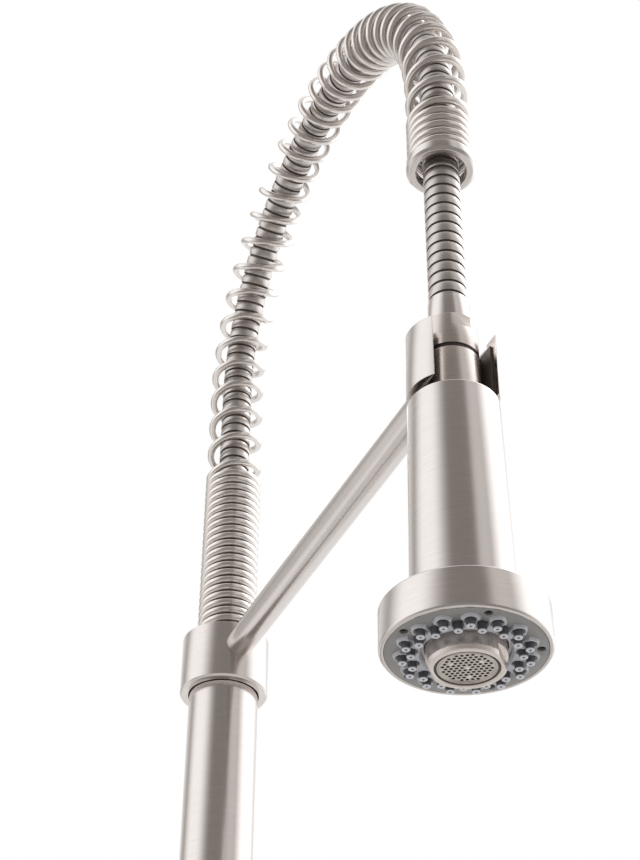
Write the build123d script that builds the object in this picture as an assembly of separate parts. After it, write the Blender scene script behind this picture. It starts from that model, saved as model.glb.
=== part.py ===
from build123d import *
from math import acos, ceil, cos, pi, radians, sin, sqrt
import os

# Spring kitchen faucet. Millimetres, +Z up, the deck that it stands on is the plane z = 0,
# the column's axis is the Z axis and the spray head hangs at -Y.

os.makedirs("parts", exist_ok=True)

# Driving dimensions of the whole
REACH = 219.6  # column's axis to spray head's axis
COLLAR_RISE = 260.0  # deck to the collar's lower edge
DECK_THICKNESS = 20.0  # counter that the shank passes through

# Clearances
RUN_GAP = 0.05  # radial, shaft in its bearing
SEAT_GAP = 0.05  # radial, piece seated in another of the same body
FACE_GAP = 0.10  # between flat faces that slide on each other
LOOSE_GAP = 0.30  # between moving pieces that don't bear on each other
OVERRUN = 1.0  # how far a cutter passes the face that it opens

# Column and the spigot on its top
COLUMN_D = 30.0
COLUMN_WALL = 1.5
COLUMN_TOP_RISE = 20.0  # column's end above the collar's lower edge
COLUMN_GROOVE_DEPTH = 0.8
COLUMN_GROOVE_WIDTH = 4.6
SPIGOT_PLUG_LENGTH = 18.0
SPIGOT_FLANGE = 2.0
SPIGOT_SHOULDER = 3.0  # width of the ledge round the spigot
SPIGOT_D = COLUMN_D - 2 * SPIGOT_SHOULDER
SPIGOT_NIPPLE_D = 8.0
SPIGOT_BORE = 5.0

# Collar that carries the arm
COLLAR_WALL = 3.6
COLLAR_HEIGHT = 27.3
COLLAR_BORE_GAP = 0.4
COLLAR_D = COLUMN_D + 2 * (COLLAR_BORE_GAP + COLLAR_WALL)
COLLAR_TOP_WALL = 3.0
COLLAR_LIP = 0.8  # chamfer of its outer edges
THRUST_RING_WIDTH = 2.6
COLLAR_SCREW_D = 4.0
COLLAR_SCREW_RISE = 12.0
COLLAR_SCREW_SOCKET = 2.0
SOCKET_DEPTH_SHARE = 0.5

# Arm and the clip that holds the spray head
ARM_D = 12.4
ARM_RISE = 17.2
ARM_WALL = 1.5
CLIP_D = 32.6
CLIP_HEIGHT = 26.6
CLIP_RISE = 3.0
CLIP_WALL = 3.2
CLIP_MOUTH = 24.8
CLIP_EDGE = 0.5
LINER_BED_GAP = 0.3  # liner's inner face to the neck
LINER_TIP_BACK = 0.5  # how far the liner ends behind the clip's ends
LINER_LIP = 0.8
LINER_MOUTH_WALL = 0.7

# Spring
SPRING_D = 26.1
WIRE_D = 3.4
CLOSE_PITCH = 4.0
LOWER_CLOSE_TURNS = 22
UPPER_CLOSE_TURNS = 5
OPEN_TURNS = 32
OPEN_PITCH_SHARES = (1.269, 1.145, 1.127, 1.02, 0.992, 0.884, 0.733, 0.863, 1.0, 0.967)
SPRING_START = 190.2  # degrees round the line at which the wire starts
ARCH_TURN_SHARES = (0.3524, 0.2763)  # of the half turn, first and second arc
ARCH_RADIUS_SHARES = (0.4445, 0.5285)  # of the reach, first and second arc
ARCH_FOOT_RISE = 171.2  # collar's lower edge to where the arch starts
STEPS_PER_TURN = 4  # quarter turns, each one biarc
HEADING_STEP = 0.0025  # of a turn, to find the wire's direction
GAP_SAMPLES = 24  # points per turn for the gap that is printed
RING_D = 27.0
RING_BORE = 19.8
RING_HEIGHT = 5.0
RING_RISE = 116.5
RING_EDGE = 1.2
RING_TOP_EDGE = 0.4
MIN_SELF_GAP = 0.4

# Hoses
HOSE_D = 14.2
HOSE_GROOVE = 0.55  # depth of the seam between two ribs
HOSE_BORE = 11.0
HOSE_RIBS = 120
RIB_STATION_SHARES = (0.0, 0.10, 0.84, 0.94)
INNER_HOSE_D = 10.4
INNER_HOSE_BORE = 7.0
HOSE_TAIL_D = 17.6
HOSE_TAIL_LENGTH = 14.0
HOSE_TAIL_FLOOR = 5.0

# Ferrule, swivel nut and seal at the hose's end
FERRULE_D = 15.4
FERRULE_STEP_D = 14.9
FERRULE_STEP = 1.6
FERRULE_TOP_RISE = 47.7
FERRULE_DEPTH = 9.2
NUT_TOP_RISE = 36.0
NUT_D = 20.0
NUT_FLAT = 18.0  # across the two wrench flats
NUT_FLAT_HEIGHT = 6.0
NUT_FLAT_ANGLE = -92.4  # degrees round the head's axis
NUT_ROOF = 3.0
NUT_CAVITY_D = 16.6
NUT_EDGE = 0.8
NIPPLE_D = 12.0
NIPPLE_FLANGE = 2.0
NIPPLE_SPIGOT_D = 10.0
SEAL_HEIGHT = 1.8
SEAL_BACK = 0.5  # how far the dark seal lies inside the nut's side
HOSE_END_BORE = 6.0

# Spray head
NECK_D = 20.2
NECK_HEIGHT = 19.8
NECK_STUB_HEIGHT = 8.5
NECK_THREAD_LENGTH = 12.0
HEAD_TOP_D = 32.3
HEAD_BOTTOM_D = 34.7
HEAD_LENGTH = 82.7
HEAD_WALL = 1.6
HEAD_TOP_WALL = 3.0
HEAD_EDGE = 0.7
CORE_LENGTH = 30.0
CORE_PIVOT_D = 26.0
CORE_PIVOT_LENGTH = 8.0
CORE_BORE = 8.0
WATERWAY_D = 12.0
CHECK_VALVE_LENGTH = 10.0
CHECK_VALVE_RISE = 4.9  # its top above the shell's
DIVERTER_LENGTH = 7.0

# Bell and its face
BELL_D = 55.0
BELL_HEIGHT = 14.9
BELL_WALL = 1.7
BELL_TOP_WALL = 2.0
BELL_TOP_EDGE = 0.8
BELL_RIM_EDGE = 1.0
FACE_BACK = 0.1  # face plate behind the bell's rim
FACE_THICKNESS = 1.6
FACE_HOLES = 5
FACE_HOLE_D = 2.7
FACE_HOLE_RING_D = 46.4
FACE_HOLE_START = -172.9  # degrees
SCREW_HEAD_BACK = 0.9
MAT_STAND = 0.5  # how far the mat's web stands in front of the plate
MAT_INNER_D = 28.4
MAT_OUTER_D = 42.2
NOZZLES = 30
NOZZLE_D = 3.2
NOZZLE_TIP_D = 2.6
NOZZLE_JET_D = 0.8
NOZZLE_LENGTH = 2.6
NOZZLE_OUTER_RING_D = 40.0
NOZZLE_INNER_RING_D = 35.0
NOZZLE_START = -138.0  # degrees
AERATOR_D = 25.8
AERATOR_TIP_D = 24.6
AERATOR_STAND = 6.1  # past the bell's rim
AERATOR_EDGE = 1.5
AERATOR_MOUTH_D = 20.8
AERATOR_MOUTH_DEPTH = 9.0
AERATOR_FLAT = 22.6
AERATOR_FLAT_HEIGHT = 4.0
AERATOR_FLAT_ANGLE = -41.4  # degrees round the head's axis
AERATOR_RING_WALL = 1.2
AERATOR_RING_DEPTH = 6.0
SCREEN_THICKNESS = 0.8
SCREEN_BACK = 0.4
SCREEN_HOLE = 1.0
SCREEN_PITCH = 1.45
SCREEN_RIM = 1.0

# Valve body and what clamps it to the deck
FLANGE_D = 56.0
FLANGE_HEIGHT = 7.0
FLANGE_EDGE = 1.5
GASKET_D = 50.0
GASKET_WIDTH = 5.0
GASKET_HEIGHT = 2.0
VALVE_D = 46.0
VALVE_TOP_RISE = 112.0
VALVE_EDGE = 3.0
VALVE_AXIS_RISE = 62.0
COLUMN_SEAT_DEPTH = 16.0
COLUMN_SEAL = 2.0
SHANK_D = 32.8
SHANK_BORE = 25.0
SHANK_LENGTH = 64.0
SHANK_SEAT_DEPTH = 12.0
THREAD_PITCH = 2.0
THREAD_DEPTH = 0.9
WASHER_D = 52.0
RUBBER_WASHER = 3.0
STEEL_WASHER = 2.0
NUT_AF = 46.0
DECK_NUT_HEIGHT = 11.0
INLET_BLOCK_HEIGHT = 13.0
INLET_SPACING = 11.5
INLET_THREAD_D = 9.2  # tapping size of the M10 inlet thread
INLET_THREAD_LENGTH = 11.0
INLET_TUBE_D = 8.0
INLET_TUBE_BORE = 6.0
INLET_PASSAGE_TOP = 8.0  # tubes' passages end this far under the cartridge's axis
OUTLET_BORE = 12.0

# Cartridge and lever
PIVOT_X = 38.0  # lever's pivot from the column's axis
BOSS_D = 40.0
BOSS_EDGE = 1.0
CARTRIDGE_D = 32.0
CARTRIDGE_FLOOR_X = 8.0
CARTRIDGE_LENGTH = 24.0
CARTRIDGE_BORE = 22.0
CARTRIDGE_FLOOR = 5.0
DISC_D = 20.0
DISC_THICKNESS = 2.4
CARRIER_D = 21.0
CARRIER_THICKNESS = 5.0
BONNET_R = 18.0
BONNET_WALL = 2.2
BONNET_MOUTH_D = 24.0
BONNET_FLANGE = 1.5
SPHERE_STEPS = 6  # straight pieces along a round cover's outline
HUB_GAP = 0.5
HUB_R = 21.2
HUB_RIM_X = 9.5
HUB_FRONT_X = 27.0
HUB_FRONT_D = 24.0
STEM_D = 8.0
STEM_REACH = 24.0
STEM_PIN_D = 4.0
FORK_WALL = 3.5
FORK_WIDTH = 7.0
LEVER_D = 9.0
LEVER_TIP_D = 7.6
LEVER_TIP_EDGE = 2.5
LEVER_X = 21.5
LEVER_FOOT = 7.0
LEVER_LENGTH = 92.0
GRUB_D = 4.0
GRUB_TOP = 13.0
HUB_PLUG_D = 9.0
HUB_PLUG_DEPTH = 1.6

# Heights worked out from the dimensions
COLLAR_Z = COLLAR_RISE
COLLAR_TOP_Z = COLLAR_Z + COLLAR_HEIGHT
COLUMN_TOP_Z = COLLAR_Z + COLUMN_TOP_RISE
SPIGOT_TOP_Z = COLUMN_TOP_Z + SPIGOT_FLANGE
FLANGE_SEAT_Z = COLLAR_TOP_Z - COLLAR_TOP_WALL
ARM_Z = COLLAR_Z + ARM_RISE
CLIP_Z = COLLAR_Z + CLIP_RISE
CLIP_TOP_Z = CLIP_Z + CLIP_HEIGHT
ARCH_FOOT_Z = COLLAR_Z + ARCH_FOOT_RISE
RING_Z = COLLAR_Z + RING_RISE
RING_TOP_Z = RING_Z + RING_HEIGHT
HEAD_TOP_Z = COLLAR_Z
NECK_TOP_Z = HEAD_TOP_Z + NECK_HEIGHT
NUT_Z = NECK_TOP_Z + SEAL_HEIGHT
NUT_TOP_Z = COLLAR_Z + NUT_TOP_RISE
FERRULE_TOP_Z = COLLAR_Z + FERRULE_TOP_RISE
HEAD_BOTTOM_Z = HEAD_TOP_Z - HEAD_LENGTH
BELL_TOP_Z = HEAD_BOTTOM_Z - FACE_GAP
RIM_Z = BELL_TOP_Z - BELL_HEIGHT
PLATE_Z = RIM_Z + FACE_BACK
PLATE_BACK_Z = PLATE_Z + FACE_THICKNESS
AERATOR_TIP_Z = RIM_Z - AERATOR_STAND
HOSE_END_Z = FERRULE_TOP_Z - FERRULE_DEPTH + LOOSE_GAP
HOSE_TAIL_Z = COLLAR_TOP_Z
HOSE_START_Z = HOSE_TAIL_Z + HOSE_TAIL_FLOOR + LOOSE_GAP
NECK_HEAD_R = NUT_CAVITY_D / 2 - RUN_GAP


def turned(outline, axis_y=0.0):
    """A solid of revolution about a vertical axis, from (radius, height) points."""
    profile = make_face(Polyline(*[(radius, 0, height) for radius, height in outline], close=True))
    return Pos(0, axis_y, 0) * revolve(profile, Axis.Z)


def ring(outer_d, inner_d, low, high, axis_y=0.0):
    """A plain ring between two heights."""
    outline = [(inner_d / 2, low), (outer_d / 2, low), (outer_d / 2, high), (inner_d / 2, high)]
    return turned(outline, axis_y)


def rod(diameter, low, high, x=0.0, y=0.0):
    """A plain upright round bar between two heights."""
    return Pos(x, y, (low + high) / 2) * Cylinder(diameter / 2, high - low)


def sideways(solid):
    """Lays a piece that is turned about Z along +X, on the cartridge's axis."""
    return Pos(0, 0, VALVE_AXIS_RISE) * Rot(0, 90, 0) * solid


def block(x_size, y_size, low, high, x=0.0, y=0.0):
    """A box between two heights."""
    return Pos(x, y, (low + high) / 2) * Box(x_size, y_size, high - low)


def flat_cutters(across_flats, diameter, low, high, angle):
    """What two wrench flats take from a round piece on the head's axis."""
    cutters = block(diameter, 2 * diameter, low, high, (across_flats + diameter) / 2)
    cutters += block(diameter, 2 * diameter, low, high, -(across_flats + diameter) / 2)
    return Pos(0, -REACH, 0) * Rot(0, 0, angle) * cutters


def polar(radius, angle, axis_y=0.0):
    """The x and y of a point at an angle in degrees round a vertical axis."""
    return radius * cos(radians(angle)), axis_y + radius * sin(radians(angle))


def save(node, solid):
    """Writes one sub-part."""
    export_step(solid, f"parts/{node}.step")


# The line that the spring and the hoses follow, in the plane x = 0

ARCH_TURNS = [pi * share for share in ARCH_TURN_SHARES]
ARCH_TURNS.append(pi - sum(ARCH_TURNS))
ARCH_RADII = [REACH * share for share in ARCH_RADIUS_SHARES]
HEADINGS = [0.0, ARCH_TURNS[0], ARCH_TURNS[0] + ARCH_TURNS[1], pi]
CROSSED = sum(
    ARCH_RADII[k] * (cos(HEADINGS[k]) - cos(HEADINGS[k + 1])) for k in range(len(ARCH_RADII))
)
ARCH_RADII.append((REACH - CROSSED) / (cos(HEADINGS[2]) - cos(HEADINGS[3])))
ARCH_LENGTH = sum(radius * turn for radius, turn in zip(ARCH_RADII, ARCH_TURNS))
ARCH_DROP = sum(
    ARCH_RADII[k] * (sin(HEADINGS[k + 1]) - sin(HEADINGS[k])) for k in range(len(ARCH_RADII))
)
ARCH_END_Z = ARCH_FOOT_Z + ARCH_DROP


def line_point(length):
    """Centre and heading on the line, at a length counted from the arch's foot."""
    if length <= 0:
        return Vector(0, 0, ARCH_FOOT_Z + length), 0.0
    y = 0.0
    z = ARCH_FOOT_Z
    rest = length
    for k, radius in enumerate(ARCH_RADII):
        start = HEADINGS[k]
        here = min(rest / radius, ARCH_TURNS[k])
        y -= radius * (cos(start) - cos(start + here))
        z += radius * (sin(start + here) - sin(start))
        if rest <= radius * ARCH_TURNS[k]:
            return Vector(0, y, z), start + here
        rest -= radius * ARCH_TURNS[k]
    return Vector(0, -REACH, ARCH_END_Z - rest), pi


def line_path(low_z, end_z):
    """The line as straight runs and tangent arcs, from a height on the column to one on the head."""
    edges = [Line((0, 0, low_z), (0, 0, ARCH_FOOT_Z))]
    travelled = 0.0
    for radius, turn in zip(ARCH_RADII, ARCH_TURNS):
        stations = [travelled, travelled + radius * turn / 2, travelled + radius * turn]
        edges.append(ThreePointArc(*[line_point(station)[0] for station in stations]))
        travelled += radius * turn
    edges.append(Line((0, -REACH, ARCH_END_Z), (0, -REACH, end_z)))
    return Wire(edges)


# Support spring: one unbroken wire, wound close at both ends and open between

SPRING_R = (SPRING_D - WIRE_D) / 2
SPRING_FOOT = COLLAR_TOP_Z + WIRE_D / 2 - ARCH_FOOT_Z
SPRING_END = ARCH_LENGTH + ARCH_END_Z - RING_TOP_Z - WIRE_D / 2
CLOSE_FOOT_LENGTH = LOWER_CLOSE_TURNS * CLOSE_PITCH
CLOSE_END_LENGTH = UPPER_CLOSE_TURNS * CLOSE_PITCH
OPEN_LENGTH = SPRING_END - SPRING_FOOT - CLOSE_FOOT_LENGTH - CLOSE_END_LENGTH
ALL_TURNS = LOWER_CLOSE_TURNS + OPEN_TURNS + UPPER_CLOSE_TURNS


def spring_length(turn):
    """Length along the line, from the arch's foot, that the winding has reached after some turns."""
    if turn <= LOWER_CLOSE_TURNS:
        return SPRING_FOOT + turn * CLOSE_PITCH
    if turn >= LOWER_CLOSE_TURNS + OPEN_TURNS:
        return SPRING_END - (ALL_TURNS - turn) * CLOSE_PITCH
    shares = OPEN_PITCH_SHARES
    place = (turn - LOWER_CLOSE_TURNS) / OPEN_TURNS * len(shares)
    whole = min(int(place), len(shares) - 1)
    reached = sum(shares[:whole]) + shares[whole] * (place - whole)
    return SPRING_FOOT + CLOSE_FOOT_LENGTH + OPEN_LENGTH * reached / sum(shares)


def spring_point(turn):
    """A point on the wire's centre line."""
    centre, heading = line_point(spring_length(turn))
    outward = Vector(0, cos(heading), sin(heading))
    angle = 2 * pi * turn + radians(SPRING_START)
    return centre + Vector(1, 0, 0) * (SPRING_R * cos(angle)) + outward * (SPRING_R * sin(angle))


def spring_heading(turn):
    """The wire's direction there, from two points close by."""
    ahead = spring_point(turn + HEADING_STEP)
    return (ahead - spring_point(turn - HEADING_STEP)).normalized()


def biarc(start, start_way, end, end_way):
    """Two tangent arcs that join two points in two given directions."""
    gap = end - start
    ways = start_way + end_way
    spread = 2 * (1 - start_way.dot(end_way))
    reach = (sqrt(gap.dot(ways) ** 2 + spread * gap.dot(gap)) - gap.dot(ways)) / spread
    joint = (start + end + (start_way - end_way) * reach) / 2
    first = Edge.make_tangent_arc(start, start_way, joint)
    second = Edge.make_tangent_arc(end, end_way * -1, joint)
    return [first, second.reversed()]


def spring_wire_path():
    """The whole winding as biarcs of a quarter turn."""
    edges = []
    for step in range(ALL_TURNS * STEPS_PER_TURN):
        here = step / STEPS_PER_TURN
        there = (step + 1) / STEPS_PER_TURN
        edges += biarc(spring_point(here), spring_heading(here), spring_point(there), spring_heading(there))
    return Wire(edges)


def print_self_gap():
    """Prints the spring's least gap to itself, over a whole turn or more apart."""
    points = [spring_point(k / GAP_SAMPLES) for k in range(ALL_TURNS * GAP_SAMPLES + 1)]
    least = REACH
    for k, point in enumerate(points):
        for other in points[k + GAP_SAMPLES // 2: k + 2 * GAP_SAMPLES]:
            least = min(least, (point - other).length - WIRE_D)
    print(f"spring: {ALL_TURNS} turns, least gap to itself {least:.2f} mm, wanted over {MIN_SELF_GAP}")


def support_spring():
    path = spring_wire_path()
    section = Plane(spring_point(0), z_dir=spring_heading(0)) * Circle(WIRE_D / 2)
    return sweep(section, path)


def spring_end_ring():
    """Turned ring at the spring's free end, with a soft lower edge."""
    outer = RING_D / 2
    bore = RING_BORE / 2
    solid = turned(
        [
            (bore, RING_Z),
            (outer - RING_EDGE, RING_Z),
            (outer, RING_Z + RING_EDGE),
            (outer, RING_TOP_Z - RING_TOP_EDGE),
            (outer - RING_TOP_EDGE, RING_TOP_Z),
            (bore, RING_TOP_Z),
        ],
        -REACH,
    )
    return solid


# Hoses

def flexible_hose():
    """Strip-wound metal hose with its ribs and its bore."""
    start = HOSE_START_Z - ARCH_FOOT_Z
    end = ARCH_LENGTH + ARCH_END_Z - HOSE_END_Z
    pitch = (end - start) / HOSE_RIBS
    crest = HOSE_D / 2
    valley = crest - HOSE_GROOVE
    sections = []
    for rib in range(HOSE_RIBS):
        for share, radius in zip(RIB_STATION_SHARES, (valley, crest, crest, valley)):
            sections.append(hose_circle(start + (rib + share) * pitch, radius))
    sections.append(hose_circle(end, valley))
    outer = loft(sections, ruled=True)
    bore = sweep(Pos(0, 0, HOSE_START_Z) * Circle(HOSE_BORE / 2), line_path(HOSE_START_Z, HOSE_END_Z))
    return outer - bore


def hose_circle(length, radius):
    """A circle square to the line, on a steady X axis."""
    centre, heading = line_point(length)
    way = Vector(0, -sin(heading), cos(heading))
    return Plane(centre, x_dir=(1, 0, 0), z_dir=way) * Circle(radius)


def inner_hose():
    """Water hose that runs inside the metal one."""
    low = HOSE_START_Z
    path = line_path(low, HOSE_END_Z)
    wall = Circle(INNER_HOSE_D / 2) - Circle(INNER_HOSE_BORE / 2)
    return sweep(Pos(0, 0, low) * wall, path)


def hose_tail():
    """Crimped fitting that turns on the spigot's nipple and grips the hose's foot."""
    low = HOSE_TAIL_Z + FACE_GAP
    top = HOSE_TAIL_Z + HOSE_TAIL_LENGTH
    floor = HOSE_TAIL_Z + HOSE_TAIL_FLOOR
    return turned(
        [
            (SPIGOT_NIPPLE_D / 2 + RUN_GAP, low),
            (HOSE_TAIL_D / 2, low),
            (HOSE_TAIL_D / 2, top),
            (HOSE_D / 2 + SEAT_GAP, top),
            (HOSE_D / 2 + SEAT_GAP, floor),
            (SPIGOT_NIPPLE_D / 2 + RUN_GAP, floor),
        ]
    )


# Column, spigot and collar

def riser_column():
    low = VALVE_TOP_RISE - COLUMN_SEAT_DEPTH
    outer = COLUMN_D / 2
    inner = outer - COLUMN_WALL
    groove = COLLAR_Z + COLLAR_SCREW_RISE
    return turned(
        [
            (inner, low),
            (outer, low),
            (outer, groove - COLUMN_GROOVE_WIDTH / 2),
            (outer - COLUMN_GROOVE_DEPTH, groove - COLUMN_GROOVE_WIDTH / 2),
            (outer - COLUMN_GROOVE_DEPTH, groove + COLUMN_GROOVE_WIDTH / 2),
            (outer, groove + COLUMN_GROOVE_WIDTH / 2),
            (outer, COLUMN_TOP_Z),
            (inner, COLUMN_TOP_Z),
        ]
    )


def riser_spigot():
    """Brass plug in the column's top, on which the collar turns."""
    bore = SPIGOT_BORE / 2
    plug = COLUMN_D / 2 - COLUMN_WALL - SEAT_GAP
    nipple_top = HOSE_TAIL_Z + HOSE_TAIL_FLOOR - FACE_GAP
    return turned(
        [
            (bore, COLUMN_TOP_Z - SPIGOT_PLUG_LENGTH),
            (plug, COLUMN_TOP_Z - SPIGOT_PLUG_LENGTH),
            (plug, COLUMN_TOP_Z),
            (COLUMN_D / 2, COLUMN_TOP_Z),
            (COLUMN_D / 2, SPIGOT_TOP_Z),
            (SPIGOT_D / 2, SPIGOT_TOP_Z),
            (SPIGOT_D / 2, HOSE_TAIL_Z),
            (SPIGOT_NIPPLE_D / 2, HOSE_TAIL_Z),
            (SPIGOT_NIPPLE_D / 2, nipple_top),
            (bore, nipple_top),
        ]
    )


def arm_collar():
    """Sleeve round the column's top: the arm and the spring stand on it."""
    outer = COLLAR_D / 2
    low_bore = COLUMN_D / 2 + COLLAR_BORE_GAP
    top_bore = SPIGOT_D / 2 + RUN_GAP
    solid = turned(
        [
            (low_bore, COLLAR_Z),
            (outer - COLLAR_LIP, COLLAR_Z),
            (outer, COLLAR_Z + COLLAR_LIP),
            (outer, COLLAR_TOP_Z - COLLAR_LIP),
            (outer - COLLAR_LIP, COLLAR_TOP_Z),
            (top_bore, COLLAR_TOP_Z),
            (top_bore, FLANGE_SEAT_Z),
            (low_bore, FLANGE_SEAT_Z),
        ]
    )
    return solid - collar_screw_bar(COLLAR_SCREW_D + 2 * SEAT_GAP, COLLAR_D)


def collar_screw_bar(diameter, length):
    """A bar along +Y at the height of the collar's screw, from inside the column's groove."""
    tip = COLUMN_D / 2 - COLUMN_GROOVE_DEPTH + LOOSE_GAP
    bar = Cylinder(diameter / 2, length, align=(Align.CENTER, Align.CENTER, Align.MIN))
    return Pos(0, tip, COLLAR_Z + COLLAR_SCREW_RISE) * Rot(-90, 0, 0) * bar


def collar_screw():
    """Grub screw at the collar's back, which runs in the column's groove."""
    tip = COLUMN_D / 2 - COLUMN_GROOVE_DEPTH + LOOSE_GAP
    length = COLLAR_D / 2 - COLLAR_LIP - tip
    socket = RegularPolygon(COLLAR_SCREW_SOCKET / 2, 6, major_radius=False)
    socket = extrude(socket, length * SOCKET_DEPTH_SHARE)
    place = Pos(0, tip + length, COLLAR_Z + COLLAR_SCREW_RISE) * Rot(90, 0, 0)
    return collar_screw_bar(COLLAR_SCREW_D, length) - place * socket


def thrust_ring():
    """Plastic ring that the collar rides on."""
    return ring(
        SPIGOT_D + 2 * THRUST_RING_WIDTH,
        SPIGOT_D + 2 * LOOSE_GAP,
        SPIGOT_TOP_Z + FACE_GAP,
        FLANGE_SEAT_Z,
    )


# Arm, clip and liner

def clip_shape(low, high, outer_d, inner_r, mouth):
    """A ring round the neck, with a mouth of parallel sides that opens at -Y."""
    solid = ring(outer_d, 2 * inner_r, low, high, -REACH)
    return solid - block(mouth, outer_d, low - OVERRUN, high + OVERRUN, 0.0, -REACH - outer_d / 2)


def holder_arm():
    """Round arm between the collar and the clip."""
    start = sqrt((COLLAR_D / 2) ** 2 - (ARM_D / 2) ** 2) - ARM_WALL
    end = REACH - sqrt((CLIP_D / 2) ** 2 - (ARM_D / 2) ** 2) + ARM_WALL
    bar = Cylinder(ARM_D / 2, end - start, align=(Align.CENTER, Align.CENTER, Align.MIN))
    inner = ARM_D / 2 - ARM_WALL
    bore = Cylinder(inner, end - start, align=(Align.CENTER, Align.CENTER, Align.MIN))
    tube = Pos(0, -start, ARM_Z) * Rot(90, 0, 0) * (bar - bore)
    collar_body = rod(COLLAR_D + 2 * SEAT_GAP, COLLAR_Z - OVERRUN, COLLAR_TOP_Z + OVERRUN)
    clip_body = rod(CLIP_D + 2 * SEAT_GAP, CLIP_Z - OVERRUN, CLIP_TOP_Z + OVERRUN, 0.0, -REACH)
    return tube - collar_body - clip_body


def holder_clip():
    solid = clip_shape(CLIP_Z, CLIP_TOP_Z, CLIP_D, CLIP_D / 2 - CLIP_WALL, CLIP_MOUTH)
    rims = solid.edges().filter_by(GeomType.CIRCLE).group_by(Axis.Z)
    return chamfer(rims[0] + rims[-1], CLIP_EDGE)


def clip_liner():
    """Dark channel inside the clip: round behind the neck, a thin straight wall on each side of the mouth."""
    outer = CLIP_D / 2 - CLIP_WALL - SEAT_GAP
    inner = NECK_D / 2 + LINER_BED_GAP
    side = CLIP_MOUTH / 2 - SEAT_GAP
    low = CLIP_Z + LINER_LIP
    high = CLIP_TOP_Z - LINER_LIP
    mouth_y = sqrt((CLIP_D / 2) ** 2 - (CLIP_MOUTH / 2) ** 2) - LINER_TIP_BACK
    solid = rod(2 * outer, low, high, 0.0, -REACH)
    solid += block(2 * side, mouth_y, low, high, 0.0, -REACH - mouth_y / 2)
    channel = rod(2 * inner, low - OVERRUN, high + OVERRUN, 0.0, -REACH)
    straight = outer + OVERRUN
    half = side - LINER_MOUTH_WALL
    channel += block(2 * half, straight, low - OVERRUN, high + OVERRUN, 0.0, -REACH - straight / 2)
    return solid - channel


# Ferrule, swivel nut and seal

def hose_ferrule():
    """Crimped sleeve with the nipple that the head turns on."""
    bore = HOSE_END_BORE / 2
    outer = FERRULE_D / 2
    socket = HOSE_D / 2 + SEAT_GAP
    flange_z = NUT_TOP_Z - NUT_ROOF
    spigot_z = NUT_Z - NECK_STUB_HEIGHT / 2
    return turned(
        [
            (bore, spigot_z),
            (NIPPLE_SPIGOT_D / 2, spigot_z),
            (NIPPLE_SPIGOT_D / 2, flange_z - NIPPLE_FLANGE),
            (NUT_CAVITY_D / 2 - SEAT_GAP, flange_z - NIPPLE_FLANGE),
            (NUT_CAVITY_D / 2 - SEAT_GAP, flange_z),
            (NIPPLE_D / 2, flange_z),
            (NIPPLE_D / 2, NUT_TOP_Z),
            (outer, NUT_TOP_Z),
            (outer, FERRULE_TOP_Z - FERRULE_STEP),
            (FERRULE_STEP_D / 2, FERRULE_TOP_Z - FERRULE_STEP),
            (FERRULE_STEP_D / 2, FERRULE_TOP_Z),
            (socket, FERRULE_TOP_Z),
            (socket, FERRULE_TOP_Z - FERRULE_DEPTH),
            (bore, FERRULE_TOP_Z - FERRULE_DEPTH),
        ],
        -REACH,
    )


def swivel_nut():
    """Round nut with two wrench flats."""
    outer = NUT_D / 2
    solid = turned(
        [
            (NUT_CAVITY_D / 2, NUT_Z),
            (outer, NUT_Z),
            (outer, NUT_TOP_Z - NUT_EDGE),
            (outer - NUT_EDGE, NUT_TOP_Z),
            (NIPPLE_D / 2 + SEAT_GAP, NUT_TOP_Z),
            (NIPPLE_D / 2 + SEAT_GAP, NUT_TOP_Z - NUT_ROOF),
            (NUT_CAVITY_D / 2, NUT_TOP_Z - NUT_ROOF),
        ],
        -REACH,
    )
    low = NUT_TOP_Z - NUT_FLAT_HEIGHT
    return solid - flat_cutters(NUT_FLAT, NUT_D, low, NUT_TOP_Z + OVERRUN, NUT_FLAT_ANGLE)


def nut_seal():
    """Dark ring in the gap between the nut and the neck."""
    return ring(NUT_D - 2 * SEAL_BACK, NUT_CAVITY_D, NECK_TOP_Z + FACE_GAP, NUT_Z, -REACH)


# Spray head

def head_neck():
    """Neck that lies in the clip and turns under the nut."""
    bore = NIPPLE_SPIGOT_D / 2 + RUN_GAP
    return turned(
        [
            (bore, HEAD_TOP_Z - NECK_THREAD_LENGTH),
            (NECK_HEAD_R, HEAD_TOP_Z - NECK_THREAD_LENGTH),
            (NECK_HEAD_R, HEAD_TOP_Z),
            (NECK_D / 2, HEAD_TOP_Z),
            (NECK_D / 2, NECK_TOP_Z),
            (NECK_HEAD_R, NECK_TOP_Z),
            (NECK_HEAD_R, NECK_TOP_Z + NECK_STUB_HEIGHT),
            (bore, NECK_TOP_Z + NECK_STUB_HEIGHT),
        ],
        -REACH,
    )


def head_body():
    """Outer shell of the spray head, slightly wider at its foot."""
    top = HEAD_TOP_D / 2
    foot = HEAD_BOTTOM_D / 2
    roof = HEAD_TOP_Z - HEAD_TOP_WALL
    return turned(
        [
            (NECK_HEAD_R + SEAT_GAP, roof),
            (NECK_HEAD_R + SEAT_GAP, HEAD_TOP_Z),
            (top - HEAD_EDGE, HEAD_TOP_Z),
            (top, HEAD_TOP_Z - HEAD_EDGE),
            (foot, HEAD_BOTTOM_Z),
            (foot - HEAD_WALL, HEAD_BOTTOM_Z),
            (top - HEAD_WALL, roof),
        ],
        -REACH,
    )


def check_valve():
    """Small non-return valve in the neck's bore."""
    top = HEAD_TOP_Z + CHECK_VALVE_RISE
    return ring(NIPPLE_SPIGOT_D, HOSE_END_BORE, top - CHECK_VALVE_LENGTH, top, -REACH)


def waterway():
    """Tube from the neck to the core, inside the shell."""
    low = HEAD_BOTTOM_Z + CORE_LENGTH
    return ring(WATERWAY_D, CORE_BORE, low, HEAD_TOP_Z - NECK_THREAD_LENGTH, -REACH)


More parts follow.
